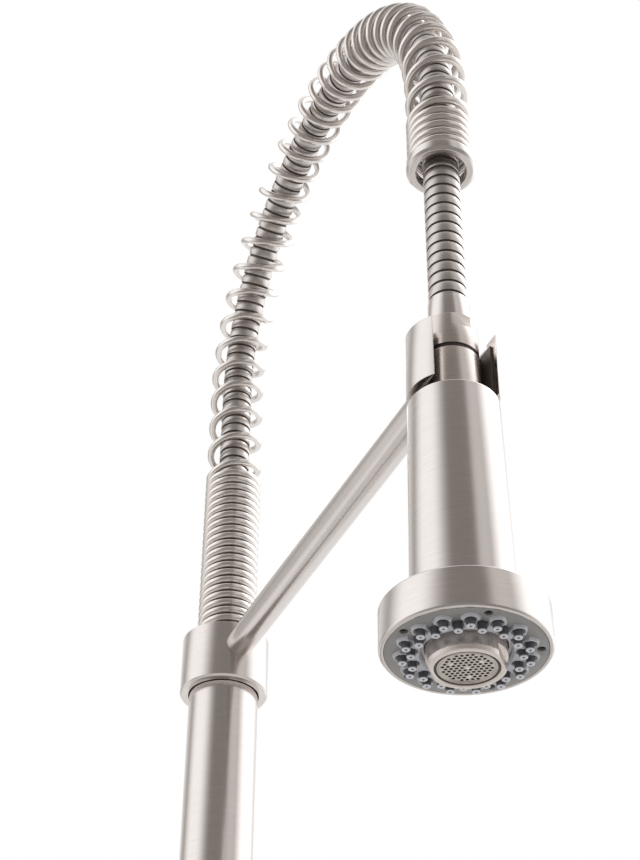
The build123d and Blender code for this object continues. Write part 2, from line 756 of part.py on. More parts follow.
def head_core():
    """Core that closes the shell's foot and carries the bell."""
    outer = HEAD_TOP_D / 2 - HEAD_WALL - SEAT_GAP
    pivot = CORE_PIVOT_D / 2
    low = HEAD_BOTTOM_Z - CORE_PIVOT_LENGTH
    return turned(
        [
            (CORE_BORE / 2, low),
            (pivot, low),
            (pivot, HEAD_BOTTOM_Z),
            (outer, HEAD_BOTTOM_Z),
            (outer, HEAD_BOTTOM_Z + CORE_LENGTH),
            (CORE_BORE / 2, HEAD_BOTTOM_Z + CORE_LENGTH),
        ],
        -REACH,
    )


def diverter_valve():
    """Shuttle in the core's bore that sends the water to the jets or to the aerator."""
    low = HEAD_BOTTOM_Z
    return ring(CORE_BORE - 2 * SEAT_GAP, CORE_BORE / 2, low, low + DIVERTER_LENGTH, -REACH)


# Bell, face and aerator

def head_bell():
    """Bell that turns on the core to change the spray."""
    outer = BELL_D / 2
    pivot = CORE_PIVOT_D / 2 + RUN_GAP
    roof = BELL_TOP_Z - BELL_TOP_WALL
    return turned(
        [
            (pivot, BELL_TOP_Z),
            (outer - BELL_TOP_EDGE, BELL_TOP_Z),
            (outer, BELL_TOP_Z - BELL_TOP_EDGE),
            (outer, RIM_Z + BELL_RIM_EDGE),
            (outer - BELL_RIM_EDGE / 2, RIM_Z),
            (outer - BELL_WALL, RIM_Z),
            (outer - BELL_WALL, roof),
            (pivot, roof),
        ],
        -REACH,
    )


def nozzle_places():
    """The jets stand by turns on an outer and an inner circle."""
    places = []
    for k in range(NOZZLES):
        circle = NOZZLE_OUTER_RING_D if k % 2 == 0 else NOZZLE_INNER_RING_D
        places.append(polar(circle / 2, NOZZLE_START + 360 / NOZZLES * k, -REACH))
    return places


def face_screw_places():
    angles = [FACE_HOLE_START + 360 / FACE_HOLES * k for k in range(FACE_HOLES)]
    return [polar(FACE_HOLE_RING_D / 2, angle, -REACH) for angle in angles]


def spray_face():
    """Grey plate that closes the bell round the jets."""
    outer_d = BELL_D - 2 * BELL_WALL - 2 * SEAT_GAP
    plate = ring(outer_d, MAT_OUTER_D + 2 * SEAT_GAP, PLATE_Z, PLATE_BACK_Z, -REACH)
    for x, y in face_screw_places():
        plate -= rod(FACE_HOLE_D, PLATE_Z - OVERRUN, PLATE_BACK_Z + OVERRUN, x, y)
    return plate


def face_screws():
    """Screws at the bottom of the plate's holes."""
    low = PLATE_Z + SCREW_HEAD_BACK
    screws = [
        rod(FACE_HOLE_D - 2 * SEAT_GAP, low, PLATE_BACK_Z, x, y) for x, y in face_screw_places()
    ]
    return Compound(children=screws)


def spray_housing():
    """Plastic chamber in the bell, behind the plate and the mat."""
    outer_d = BELL_D - 2 * BELL_WALL - 2 * SEAT_GAP
    roof = BELL_TOP_Z - BELL_TOP_WALL - LOOSE_GAP
    return ring(outer_d, CORE_PIVOT_D + 2 * LOOSE_GAP, PLATE_BACK_Z, roof, -REACH)


def nozzle_mat():
    """Soft mat with its jets, one solid."""
    front = PLATE_Z - MAT_STAND
    mat = ring(MAT_OUTER_D, MAT_INNER_D, front, PLATE_BACK_Z, -REACH)
    for x, y in nozzle_places():
        taper = Pos(x, y, front - NOZZLE_LENGTH / 2) * Rot(180, 0, 0) * Cone(
            NOZZLE_D / 2, NOZZLE_TIP_D / 2, NOZZLE_LENGTH
        )
        mat += taper
    for x, y in nozzle_places():
        mat -= rod(NOZZLE_JET_D, front - NOZZLE_LENGTH - OVERRUN, PLATE_BACK_Z + OVERRUN, x, y)
    return mat


def aerator_housing():
    """Turned barrel in the middle of the face, with two wrench flats."""
    outer = AERATOR_D / 2
    tip = AERATOR_TIP_D / 2
    mouth = AERATOR_MOUTH_D / 2
    low = AERATOR_TIP_Z
    back = BELL_TOP_Z - CORE_PIVOT_LENGTH - LOOSE_GAP
    solid = turned(
        [
            (CORE_BORE / 2, back),
            (outer, back),
            (outer, low + AERATOR_EDGE),
            (tip, low),
            (mouth, low),
            (mouth, low + AERATOR_MOUTH_DEPTH),
            (CORE_BORE / 2, low + AERATOR_MOUTH_DEPTH),
        ],
        -REACH,
    )
    high = low + AERATOR_FLAT_HEIGHT
    return solid - flat_cutters(AERATOR_FLAT, AERATOR_D, low - OVERRUN, high, AERATOR_FLAT_ANGLE)


def aerator_ring():
    """Dark cage of the aerator's insert."""
    outer_d = AERATOR_MOUTH_D - 2 * SEAT_GAP
    low = AERATOR_TIP_Z + SCREEN_BACK
    return ring(outer_d, outer_d - 2 * AERATOR_RING_WALL, low, low + AERATOR_RING_DEPTH, -REACH)


def aerator_screen():
    """Perforated disc in the cage, one holed face made solid."""
    radius = AERATOR_MOUTH_D / 2 - SEAT_GAP - AERATOR_RING_WALL - SEAT_GAP
    low = AERATOR_TIP_Z + SCREEN_BACK
    span = ceil(radius / SCREEN_PITCH)
    holes = []
    for row in range(-span, span + 1):
        for column in range(-span, span + 1):
            x = (column + (row % 2) / 2) * SCREEN_PITCH
            y = row * SCREEN_PITCH * sin(pi / 3)
            if sqrt(x * x + y * y) < radius - SCREEN_RIM:
                holes.append(Pos(x, y) * RegularPolygon(SCREEN_HOLE / 2, 6))
    face = Circle(radius) - holes
    return Pos(0, -REACH, low) * extrude(face, SCREEN_THICKNESS)


# Valve body and deck fastening

def deck_flange():
    outer = FLANGE_D / 2
    bore = SHANK_D / 2 + LOOSE_GAP
    gasket_out = GASKET_D / 2
    gasket_in = gasket_out - GASKET_WIDTH
    return turned(
        [
            (bore, 0),
            (gasket_in, 0),
            (gasket_in, GASKET_HEIGHT),
            (gasket_out, GASKET_HEIGHT),
            (gasket_out, 0),
            (outer, 0),
            (outer, FLANGE_HEIGHT - FLANGE_EDGE),
            (outer - FLANGE_EDGE, FLANGE_HEIGHT),
            (bore, FLANGE_HEIGHT),
        ]
    )


def deck_gasket():
    outer_d = GASKET_D - 2 * SEAT_GAP
    return ring(outer_d, outer_d - 2 * GASKET_WIDTH + 4 * SEAT_GAP, 0, GASKET_HEIGHT)


def valve_body():
    """Turned body with the boss for the cartridge at +X."""
    outer = VALVE_D / 2
    body = turned(
        [
            (0, FLANGE_HEIGHT),
            (outer, FLANGE_HEIGHT),
            (outer, VALVE_TOP_RISE - VALVE_EDGE),
            (outer - VALVE_EDGE, VALVE_TOP_RISE),
            (0, VALVE_TOP_RISE),
        ]
    )
    boss_end = PIVOT_X - BONNET_FLANGE
    boss_outline = [
        (0, 0),
        (BOSS_D / 2, 0),
        (BOSS_D / 2, boss_end - BOSS_EDGE),
        (BOSS_D / 2 - BOSS_EDGE, boss_end),
        (0, boss_end),
    ]
    body += sideways(turned(boss_outline))
    seat_z = VALVE_TOP_RISE - COLUMN_SEAT_DEPTH
    body -= rod(COLUMN_D + 2 * SEAT_GAP, seat_z, VALVE_TOP_RISE + OVERRUN)
    body -= ring(COLUMN_D + 2 * COLUMN_SEAL, COLUMN_D, seat_z + COLUMN_SEAL, seat_z + 2 * COLUMN_SEAL)
    body -= rod(SHANK_D + 2 * SEAT_GAP, FLANGE_HEIGHT - OVERRUN, FLANGE_HEIGHT + SHANK_SEAT_DEPTH)
    body -= sideways(rod(CARTRIDGE_D + 2 * SEAT_GAP, CARTRIDGE_FLOOR_X, boss_end + OVERRUN))
    body -= rod(OUTLET_BORE, VALVE_AXIS_RISE, seat_z + OVERRUN, CARTRIDGE_FLOOR_X - OUTLET_BORE / 2)
    for side in (-1, 1):
        y = side * INLET_SPACING / 2
        body -= rod(INLET_TUBE_D + 2 * SEAT_GAP, FLANGE_HEIGHT, VALVE_AXIS_RISE - INLET_PASSAGE_TOP, 0.0, y)
    return body


def column_seal():
    """Seal ring round the column's foot."""
    low = VALVE_TOP_RISE - COLUMN_SEAT_DEPTH + COLUMN_SEAL
    outer_d = COLUMN_D + 2 * COLUMN_SEAL - 2 * SEAT_GAP
    return ring(outer_d, COLUMN_D + 2 * SEAT_GAP, low + SEAT_GAP, low + COLUMN_SEAL)


def mounting_shank():
    """Tube that clamps the faucet to the deck, plain in the deck's hole and grooved as a thread below."""
    outer = SHANK_D / 2
    bore = SHANK_BORE / 2
    top = FLANGE_HEIGHT + SHANK_SEAT_DEPTH
    outline = [(bore, -SHANK_LENGTH), (bore, top), (outer, top), (outer, -DECK_THICKNESS)]
    turns = int((SHANK_LENGTH - DECK_THICKNESS) / THREAD_PITCH)
    for k in range(turns):
        crest = -DECK_THICKNESS - k * THREAD_PITCH
        outline.append((outer - THREAD_DEPTH, crest - THREAD_PITCH / 2))
        outline.append((outer, crest - THREAD_PITCH))
    outline.append((outer - THREAD_DEPTH, -SHANK_LENGTH))
    return turned(outline)


def rubber_washer():
    top = -DECK_THICKNESS
    return ring(WASHER_D, SHANK_D + 2 * LOOSE_GAP, top - RUBBER_WASHER, top)


def steel_washer():
    top = -DECK_THICKNESS - RUBBER_WASHER
    return ring(WASHER_D, SHANK_D + 2 * LOOSE_GAP, top - STEEL_WASHER, top)


def mounting_nut():
    top = -DECK_THICKNESS - RUBBER_WASHER - STEEL_WASHER
    hexagon = extrude(RegularPolygon(NUT_AF / 2, 6, major_radius=False), DECK_NUT_HEIGHT)
    nut = Pos(0, 0, top - DECK_NUT_HEIGHT) * hexagon
    return nut - rod(SHANK_D + 2 * SEAT_GAP, top - DECK_NUT_HEIGHT - OVERRUN, top + OVERRUN)


def inlet_block():
    """Block in the shank's foot with the two tapped inlets."""
    low = -SHANK_LENGTH
    top = low + INLET_BLOCK_HEIGHT
    solid = rod(SHANK_BORE - 2 * SEAT_GAP, low, top)
    for side in (-1, 1):
        y = side * INLET_SPACING / 2
        solid -= rod(INLET_THREAD_D, low - OVERRUN, low + INLET_THREAD_LENGTH, 0.0, y)
        solid -= rod(INLET_TUBE_BORE, low, top + OVERRUN, 0.0, y)
    return solid


def inlet_tubes():
    """Two copper tubes from the inlet block to the cartridge's floor."""
    low = -SHANK_LENGTH + INLET_BLOCK_HEIGHT
    top = VALVE_AXIS_RISE - CARTRIDGE_D / 2 - OVERRUN
    tubes = []
    for side in (-1, 1):
        y = side * INLET_SPACING / 2
        tube = rod(INLET_TUBE_D, low, top, 0.0, y)
        tubes.append(tube - rod(INLET_TUBE_BORE, low - OVERRUN, top + OVERRUN, 0.0, y))
    return Compound(children=tubes)


# Cartridge, bonnet and lever. Their outlines are (radius, x) points, laid along +X.

def sphere_point(radius, x):
    """Radius at a distance along the axis on a sphere about the pivot."""
    return sqrt(radius ** 2 - x ** 2)


def sphere_run(radius, x_from, x_to):
    """Points along a sphere about the pivot, as (radius, x) places."""
    start = acos(x_from / radius)
    end = acos(x_to / radius)
    angles = [start + (end - start) * k / SPHERE_STEPS for k in range(SPHERE_STEPS + 1)]
    return [(radius * sin(angle), PIVOT_X + radius * cos(angle)) for angle in angles]


def ceramic_cartridge():
    """Cartridge's housing, open towards the lever."""
    outer = CARTRIDGE_D / 2
    floor = CARTRIDGE_FLOOR_X + CARTRIDGE_FLOOR
    top = CARTRIDGE_FLOOR_X + CARTRIDGE_LENGTH
    outline = [
        (0, CARTRIDGE_FLOOR_X),
        (outer, CARTRIDGE_FLOOR_X),
        (outer, top),
        (CARTRIDGE_BORE / 2, top),
        (CARTRIDGE_BORE / 2, floor),
        (0, floor),
    ]
    return sideways(turned(outline))


def ceramic_discs():
    """The fixed and the moving disc."""
    low = CARTRIDGE_FLOOR_X + CARTRIDGE_FLOOR
    return sideways(rod(DISC_D, low, low + DISC_THICKNESS))


def across(diameter, length, y=0.0):
    """A round bar along Y through the lever's pivot."""
    return Pos(PIVOT_X, y, VALVE_AXIS_RISE) * Rot(90, 0, 0) * Cylinder(diameter / 2, length)


def fork_y():
    """Middle of each cheek of the fork, from the lever's plane."""
    return STEM_D / 2 + LOOSE_GAP + FORK_WALL / 2


def stem_carrier():
    """Carrier that turns with the lever and moves the upper disc, with a fork for the stem's pin."""
    low = CARTRIDGE_FLOOR_X + CARTRIDGE_FLOOR + DISC_THICKNESS + FACE_GAP
    top = low + CARRIER_THICKNESS
    solid = sideways(rod(CARRIER_D, low, top))
    root = top - CARRIER_THICKNESS / 2
    fork_low = VALVE_AXIS_RISE - FORK_WIDTH / 2
    fork_high = VALVE_AXIS_RISE + FORK_WIDTH / 2
    for side in (-1, 1):
        y = side * fork_y()
        solid += block(PIVOT_X - root, FORK_WALL, fork_low, fork_high, (PIVOT_X + root) / 2, y)
        solid += across(FORK_WIDTH, FORK_WALL, y)
    return solid - across(STEM_PIN_D + 2 * SEAT_GAP, 2 * fork_y() + FORK_WALL + 2 * OVERRUN)


def stem_pin():
    """Pin that the stem tips on, held by the carrier's fork."""
    return across(STEM_PIN_D, 2 * fork_y() + FORK_WALL)


def cartridge_nut():
    """Ring nut that holds the cartridge down."""
    low = CARTRIDGE_FLOOR_X + CARTRIDGE_LENGTH
    return sideways(ring(CARTRIDGE_D, CARTRIDGE_BORE, low, PIVOT_X - BONNET_FLANGE))


def valve_bonnet():
    """Round cover between the boss and the lever's hub, open in the middle for the stem."""
    mouth_x = sphere_point(BONNET_R, BONNET_MOUTH_D / 2)
    inner = BONNET_R - BONNET_WALL
    inner_mouth_x = mouth_x * inner / BONNET_R
    outline = [(inner, PIVOT_X - BONNET_FLANGE)]
    flange = BOSS_D / 2 - BOSS_EDGE
    outline += [(flange, PIVOT_X - BONNET_FLANGE), (flange, PIVOT_X - SEAT_GAP)]
    outline += sphere_run(BONNET_R, 0.0, mouth_x)
    outline += sphere_run(inner, inner_mouth_x, 0.0)
    return sideways(turned(outline))


def lever_hub():
    """Hub of the lever, hollow on a sphere about the pivot."""
    inner = BONNET_R + HUB_GAP
    rim = HUB_RIM_X
    outline = sphere_run(inner, rim, inner)
    outline[-1] = (0, PIVOT_X + inner)
    outline += [(0, PIVOT_X + HUB_FRONT_X), (HUB_FRONT_D / 2, PIVOT_X + HUB_FRONT_X)]
    outline += [(sphere_point(HUB_R, rim), PIVOT_X + rim)]
    hub = sideways(turned(outline))
    hub -= sideways(rod(STEM_D + 2 * SEAT_GAP, PIVOT_X, PIVOT_X + STEM_REACH + SEAT_GAP))
    rod_x = PIVOT_X + LEVER_X
    foot = VALVE_AXIS_RISE + LEVER_FOOT
    hub -= rod(LEVER_D + 2 * SEAT_GAP, foot, VALVE_AXIS_RISE + HUB_R + OVERRUN, rod_x)
    hub -= rod(GRUB_D + 2 * SEAT_GAP, VALVE_AXIS_RISE - HUB_R - OVERRUN, VALVE_AXIS_RISE, rod_x)
    front = PIVOT_X + HUB_FRONT_X
    plug = rod(HUB_PLUG_D + 2 * SEAT_GAP, front - HUB_PLUG_DEPTH, front + OVERRUN)
    return hub - sideways(plug)


def lever_stem():
    """Stem between the carrier and the hub, its foot clear of the carrier as it tips."""
    seat = CARTRIDGE_FLOOR_X + CARTRIDGE_FLOOR + DISC_THICKNESS + CARRIER_THICKNESS + 2 * FACE_GAP
    swing = PIVOT_X - seat - LOOSE_GAP
    low = PIVOT_X - sphere_point(swing, STEM_D / 2)
    stem = sideways(rod(STEM_D, low, PIVOT_X + STEM_REACH))
    return stem - across(STEM_PIN_D + 2 * RUN_GAP, STEM_D + 2 * OVERRUN)


def lever_rod():
    """Slim upright lever, slightly thinner at its round tip."""
    foot = VALVE_AXIS_RISE + LEVER_FOOT
    top = foot + LEVER_LENGTH
    bar = Pos(PIVOT_X + LEVER_X, 0, foot) * Cone(
        LEVER_D / 2, LEVER_TIP_D / 2, LEVER_LENGTH, align=(Align.CENTER, Align.CENTER, Align.MIN)
    )
    return fillet(bar.edges().group_by(Axis.Z)[-1], LEVER_TIP_EDGE)


def lever_grub():
    """Screw under the hub that holds the stem."""
    high = VALVE_AXIS_RISE - STEM_D / 2 - SEAT_GAP
    return rod(GRUB_D, VALVE_AXIS_RISE - GRUB_TOP, high, PIVOT_X + LEVER_X)


def hub_plug():
    """Plain plug in the hub's front."""
    front = PIVOT_X + HUB_FRONT_X
    return sideways(rod(HUB_PLUG_D, front - HUB_PLUG_DEPTH + SEAT_GAP, front))


PIECES = (
    deck_flange, deck_gasket, valve_body, column_seal, mounting_shank, rubber_washer, steel_washer,
    mounting_nut, inlet_block, inlet_tubes, ceramic_cartridge, ceramic_discs, cartridge_nut,
    valve_bonnet, stem_carrier, stem_pin, lever_stem, lever_hub, lever_rod, lever_grub, hub_plug,
    riser_column, riser_spigot, thrust_ring, arm_collar, collar_screw, holder_arm, holder_clip,
    clip_liner, support_spring, spring_end_ring, flexible_hose, inner_hose, hose_tail,
    hose_ferrule, swivel_nut, nut_seal, head_neck, head_body, check_valve, waterway, head_core,
    diverter_valve, head_bell, spray_housing, spray_face, face_screws, nozzle_mat,
    aerator_housing, aerator_ring, aerator_screen,
)

for piece in PIECES:
    save(piece.__name__, piece())
print_self_gap()
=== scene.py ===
"""Spring kitchen faucet, dressed for rendering round its packed CAD part."""

from math import acos, asin, atan2, cos, hypot, pi, radians, sin, sqrt

import bmesh
import bpy
from bpy.props import FloatProperty, FloatVectorProperty, IntProperty, PointerProperty
from mathutils import Matrix, Vector


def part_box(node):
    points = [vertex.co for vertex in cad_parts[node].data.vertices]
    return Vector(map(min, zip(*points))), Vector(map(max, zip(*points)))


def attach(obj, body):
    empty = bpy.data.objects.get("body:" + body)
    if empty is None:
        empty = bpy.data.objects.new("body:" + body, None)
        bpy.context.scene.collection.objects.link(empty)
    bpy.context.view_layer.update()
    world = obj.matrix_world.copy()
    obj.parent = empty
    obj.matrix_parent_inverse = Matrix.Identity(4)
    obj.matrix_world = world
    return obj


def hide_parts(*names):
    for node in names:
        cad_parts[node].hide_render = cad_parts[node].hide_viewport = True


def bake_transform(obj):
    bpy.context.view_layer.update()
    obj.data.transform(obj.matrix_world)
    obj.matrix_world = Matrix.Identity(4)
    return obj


bl_info = {
    "name": "Spring kitchen faucet",
    "version": (1, 0, 0),
    "blender": (4, 5, 0),
    "location": "View3D > Sidebar > Faucet",
    "description": "Models a deck-mounted kitchen faucet with a spring arch and a pull-down spray head",
    "category": "Object",
}

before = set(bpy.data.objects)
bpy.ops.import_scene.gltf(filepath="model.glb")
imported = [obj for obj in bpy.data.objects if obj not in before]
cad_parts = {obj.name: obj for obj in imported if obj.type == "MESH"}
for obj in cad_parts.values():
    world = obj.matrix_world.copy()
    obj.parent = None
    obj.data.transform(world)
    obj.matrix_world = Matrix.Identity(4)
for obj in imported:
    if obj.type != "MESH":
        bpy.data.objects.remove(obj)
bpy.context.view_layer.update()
MM = 0.001


def node_span(node):
    """Outer radius, lowest and highest level of a CAD node, in metres."""
    low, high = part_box(node)
    return (high.x - low.x) / 2, low.z, high.z


COLUMN_R, COLUMN_LOW, COLUMN_TOP = node_span("riser_column")
COLLAR_R, COLLAR_LOW, COLLAR_TOP = node_span("arm_collar")
CLIP_R, CLIP_LOW, CLIP_TOP = node_span("holder_clip")
BODY_R, BODY_LOW, BODY_TOP = node_span("head_body")
BELL_R, RIM_LOW, BELL_TOP = node_span("head_bell")
NUT_LOW, NUT_TOP = node_span("swivel_nut")[1:]


class FaucetLine(bpy.types.PropertyGroup):
    """The line that the spring and the hose follow."""

    reach: FloatProperty(
        name="Reach", description="Column's axis to the spray head's axis",
        default=219.6 * MM, unit="LENGTH",
    )
    foot_rise: FloatProperty(
        name="Straight rise", description="Collar's lower edge to the arch's foot",
        default=171.2 * MM, unit="LENGTH",
    )
    first_turn: FloatProperty(
        name="First arc's turn", description="Its share of the half turn", default=0.3524, subtype="FACTOR"
    )
    second_turn: FloatProperty(
        name="Second arc's turn", description="Its share of the half turn", default=0.2763, subtype="FACTOR"
    )
    first_radius: FloatProperty(
        name="First arc's radius", description="Its share of the reach", default=0.4445, subtype="FACTOR"
    )
    second_radius: FloatProperty(
        name="Second arc's radius", description="Its share of the reach", default=0.5285, subtype="FACTOR"
    )


class FaucetSpring(bpy.types.PropertyGroup):
    """The wire spring round the hose."""

    outer: FloatProperty(
        name="Outer diameter", description="Across the winding", default=26.1 * MM, unit="LENGTH"
    )
    wire: FloatProperty(
        name="Wire", description="Wire's diameter", default=3.4 * MM, unit="LENGTH"
    )
    close_pitch: FloatProperty(
        name="Close pitch", description="Pitch of the close turns", default=4.0 * MM, unit="LENGTH"
    )
    lower_turns: IntProperty(name="Lower close turns", description="Close turns at the foot", default=22)
    open_turns: IntProperty(name="Open turns", description="Open turns over the arch", default=32)
    upper_turns: IntProperty(name="Upper close turns", description="Close turns at the free end", default=5)
    start: FloatProperty(
        name="Start", description="Where the wire starts round the line",
        default=radians(190.2), subtype="ANGLE",
    )


class FaucetHose(bpy.types.PropertyGroup):
    """The strip-wound hose."""

    outer: FloatProperty(
        name="Outer diameter", description="Across the ribs", default=14.2 * MM, unit="LENGTH"
    )
    seam: FloatProperty(
        name="Seam depth", description="Depth between two ribs", default=0.75 * MM, unit="LENGTH"
    )
    ribs: IntProperty(name="Ribs", description="Ribs from end to end", default=120)


class FaucetHead(bpy.types.PropertyGroup):
    """The spray head and its face."""

    neck: FloatProperty(
        name="Neck", description="Neck's diameter", default=20.2 * MM, unit="LENGTH"
    )
    shoulder: FloatProperty(
        name="Shoulder", description="Shell's diameter at its top", default=32.3 * MM, unit="LENGTH"
    )
    nozzles: IntProperty(name="Jets", description="Jets on both circles", default=30)
    outer_ring: FloatProperty(
        name="Outer jet circle", description="Diameter of the outer circle",
        default=40.0 * MM, unit="LENGTH",
    )
    inner_ring: FloatProperty(
        name="Inner jet circle", description="Diameter of the inner circle",
        default=35.0 * MM, unit="LENGTH",
    )
    nozzle_start: FloatProperty(
        name="First jet", description="Angle of the first jet", default=radians(-138.0), subtype="ANGLE"
    )
    screws: IntProperty(name="Face screws", description="Screws in the face", default=5)
    screw_ring: FloatProperty(
        name="Screw circle", description="Diameter of the screws' circle", default=46.4 * MM, unit="LENGTH"
    )
    screw_start: FloatProperty(
        name="First screw", description="Angle of the first screw", default=radians(-172.9), subtype="ANGLE"
    )


class FaucetColours(bpy.types.PropertyGroup):
    """Base colours of the finishes."""

    nickel: FloatVectorProperty(
        name="Nickel", description="Brushed nickel",
        default=(0.70, 0.655, 0.63), subtype="COLOR", size=3,
    )
    spring: FloatVectorProperty(
        name="Spring wire", description="Satin wire",
        default=(0.76, 0.715, 0.685), subtype="COLOR", size=3,
    )
    plate: FloatVectorProperty(
        name="Face plate", description="Grey plate round the jets",
        default=(0.31, 0.302, 0.297), subtype="COLOR", size=3,
    )
    mat: FloatVectorProperty(
        name="Jet mat", description="Soft blue-grey mat",
        default=(0.61, 0.625, 0.68), subtype="COLOR", size=3,
    )
    dark: FloatVectorProperty(
        name="Dark plastic", description="Liner and seals",
        default=(0.055, 0.042, 0.036), subtype="COLOR", size=3,
    )
    counter: FloatVectorProperty(
        name="Counter", description="Pale floor",
        default=(0.72, 0.715, 0.705), subtype="COLOR", size=3,
    )


GROUPS = {
    "faucet_line": FaucetLine,
    "faucet_spring": FaucetSpring,
    "faucet_hose": FaucetHose,
    "faucet_head": FaucetHead,
    "faucet_colours": FaucetColours,
}


# Node expressions

NOISE_ROUGHNESS = 0.6


class Value:
    """A socket that takes part in sums, differences, products and quotients."""

    def __init__(self, sheet, socket):
        self.sheet = sheet
        self.socket = socket

    def math(self, operation, first, second=0.0):
        return self.sheet.node("ShaderNodeMath", {"operation": operation}, {0: first, 1: second})

    def __add__(self, other):
        return self.math("ADD", self, other)

    def __radd__(self, other):
        return self.math("ADD", other, self)

    def __sub__(self, other):
        return self.math("SUBTRACT", self, other)

    def __rsub__(self, other):
        return self.math("SUBTRACT", other, self)

    def __mul__(self, other):
        return self.math("MULTIPLY", self, other)

    def __rmul__(self, other):
        return self.math("MULTIPLY", other, self)

    def __truediv__(self, other):
        return self.math("DIVIDE", self, other)

    def __rtruediv__(self, other):
        return self.math("DIVIDE", other, self)


class Sheet:
    """The node tree of a material or of the world."""

    def __init__(self, tree):
        self.tree = tree
        tree.nodes.clear()

    def node(self, kind, settings=None, inputs=None, output=0):
        made = self.tree.nodes.new(kind)
        for name, value in (settings or {}).items():
            setattr(made, name, value)
        for name, value in (inputs or {}).items():
            if isinstance(value, Value):
                self.tree.links.new(value.socket, made.inputs[name])
            else:
                made.inputs[name].default_value = value
        return Value(self, made.outputs[output]) if made.outputs else None

    def smooth(self, value, low, high, to_low=0.0, to_high=1.0):
        """A soft step of a value between two places."""
        return self.node(
            "ShaderNodeMapRange",
            {"interpolation_type": "SMOOTHSTEP"},
            {"Value": value, "From Min": low, "From Max": high, "To Min": to_low, "To Max": to_high},
        )

    def place(self, scale=(1.0, 1.0, 1.0)):
        """Object coordinates in metres, stretched by a scale."""
        source = self.node("ShaderNodeTexCoord", output="Object")
        return self.node("ShaderNodeMapping", inputs={"Vector": source, "Scale": scale})

    def noise(self, vector, scale, detail=2.0):
        return self.node(
            "ShaderNodeTexNoise",
            inputs={"Vector": vector, "Scale": scale, "Detail": detail, "Roughness": NOISE_ROUGHNESS},
        )

    def blend_colours(self, factor, first, second):
        return self.node(
            "ShaderNodeMix",
            {"data_type": "RGBA"},
            {"Factor": factor, 6: first, 7: second},
            output=2,
        )

    def bump(self, height, strength, distance):
        return self.node(
            "ShaderNodeBump", inputs={"Height": height, "Strength": strength, "Distance": distance}
        )

    def facing(self, way, direction):
        """How far a direction agrees with a fixed one."""
        agreed = {"operation": "DOT_PRODUCT"}
        return self.node("ShaderNodeVectorMath", agreed, {0: way, 1: direction}, "Value")

    def surface(self, **sockets):
        named = {name.replace("_", " "): value for name, value in sockets.items()}
        shader = self.node("ShaderNodeBsdfPrincipled", inputs=named)
        self.node("ShaderNodeOutputMaterial", inputs={"Surface": shader})


def rgba(colour, level=1.0):
    return tuple(min(1.0, channel * level) for channel in colour[:3]) + (1.0,)


def material(name):
    made = bpy.data.materials.new(name)
    made.use_nodes = True
    return made, Sheet(made.node_tree)


def turned_metal(name, colour, stretch, roughness=0.19):
    """Brushed metal, its lines close along the axes where stretch is large."""
    made, sheet = material(name)
    lines = sheet.noise(sheet.place(stretch), 1.0, 3.0)
    cloud = sheet.noise(sheet.place(), 35.0, 2.0)
    tone = sheet.smooth(lines * 0.8 + cloud * 0.2, 0.3, 0.7)
    sheet.surface(
        Base_Color=sheet.blend_colours(tone, rgba(colour, 0.955), rgba(colour, 1.035)),
        Metallic=1.0,
        Roughness=sheet.smooth(lines, 0.25, 0.75, roughness - 0.02, roughness + 0.03) + cloud * 0.02,
        Normal=sheet.bump(lines, 0.045, 0.000006),
    )
    return made


def drawn_wire(name, colour):
    """Satin wire with a faint drawn grain."""
    made, sheet = material(name)
    grain = sheet.noise(sheet.place(), 320.0, 2.0)
    cloud = sheet.noise(sheet.place(), 60.0, 2.0)
    sheet.surface(
        Base_Color=sheet.blend_colours(cloud, rgba(colour, 0.95), rgba(colour, 1.05)),
        Metallic=1.0,
        Roughness=sheet.smooth(grain, 0.3, 0.7, 0.20, 0.24),
        Normal=sheet.bump(grain, 0.01, 0.000008),
    )
    return made


def strip_metal(name, colour):
    """Brushed strip of the hose, with its grain round the hose."""
    made, sheet = material(name)
    run = sheet.node("ShaderNodeAttribute", {"attribute_name": "run"}, output="Fac")
    lines = sheet.node(
        "ShaderNodeTexNoise",
        {"noise_dimensions": "1D"},
        {"W": run, "Scale": 2600.0, "Detail": 3.0, "Roughness": NOISE_ROUGHNESS},
    )
    cloud = sheet.noise(sheet.place(), 150.0, 2.0)
    tone = lines * 0.7 + cloud * 0.3
    shade = sheet.smooth(tone, 0.3, 0.7)
    sheet.surface(
        Base_Color=sheet.blend_colours(shade, rgba(colour, 0.79), rgba(colour, 0.96)),
        Metallic=1.0,
        Roughness=sheet.smooth(tone, 0.25, 0.75, 0.32, 0.40),
        Normal=sheet.bump(lines, 0.1, 0.00001),
    )
    return made


def bright_metal(name, colour, roughness=0.12):
    """Plated metal with a faint turning mark."""
    made, sheet = material(name)
    lines = sheet.noise(sheet.place((200.0, 200.0, 5000.0)), 1.0, 2.0)
    sheet.surface(
        Base_Color=sheet.blend_colours(lines, rgba(colour, 0.96), rgba(colour, 1.03)),
        Metallic=1.0,
        Roughness=sheet.smooth(lines, 0.25, 0.75, roughness, roughness + 0.1),
        Normal=sheet.bump(lines, 0.1, 0.00002),
    )
    return made


def moulded(name, colour, roughness=0.5, grain=1500.0, depth=0.00004, strength=0.35):
    """Moulded plastic or rubber with a fine grain."""
    made, sheet = material(name)
    fine = sheet.noise(sheet.place(), grain, 3.0)
    cloud = sheet.noise(sheet.place(), 90.0, 2.0)
    sheet.surface(
        Base_Color=sheet.blend_colours(cloud, rgba(colour, 0.9), rgba(colour, 1.1)),
        Roughness=sheet.smooth(fine, 0.25, 0.75, roughness - 0.06, roughness + 0.08),
        Normal=sheet.bump(fine, strength, depth),
    )
    return made


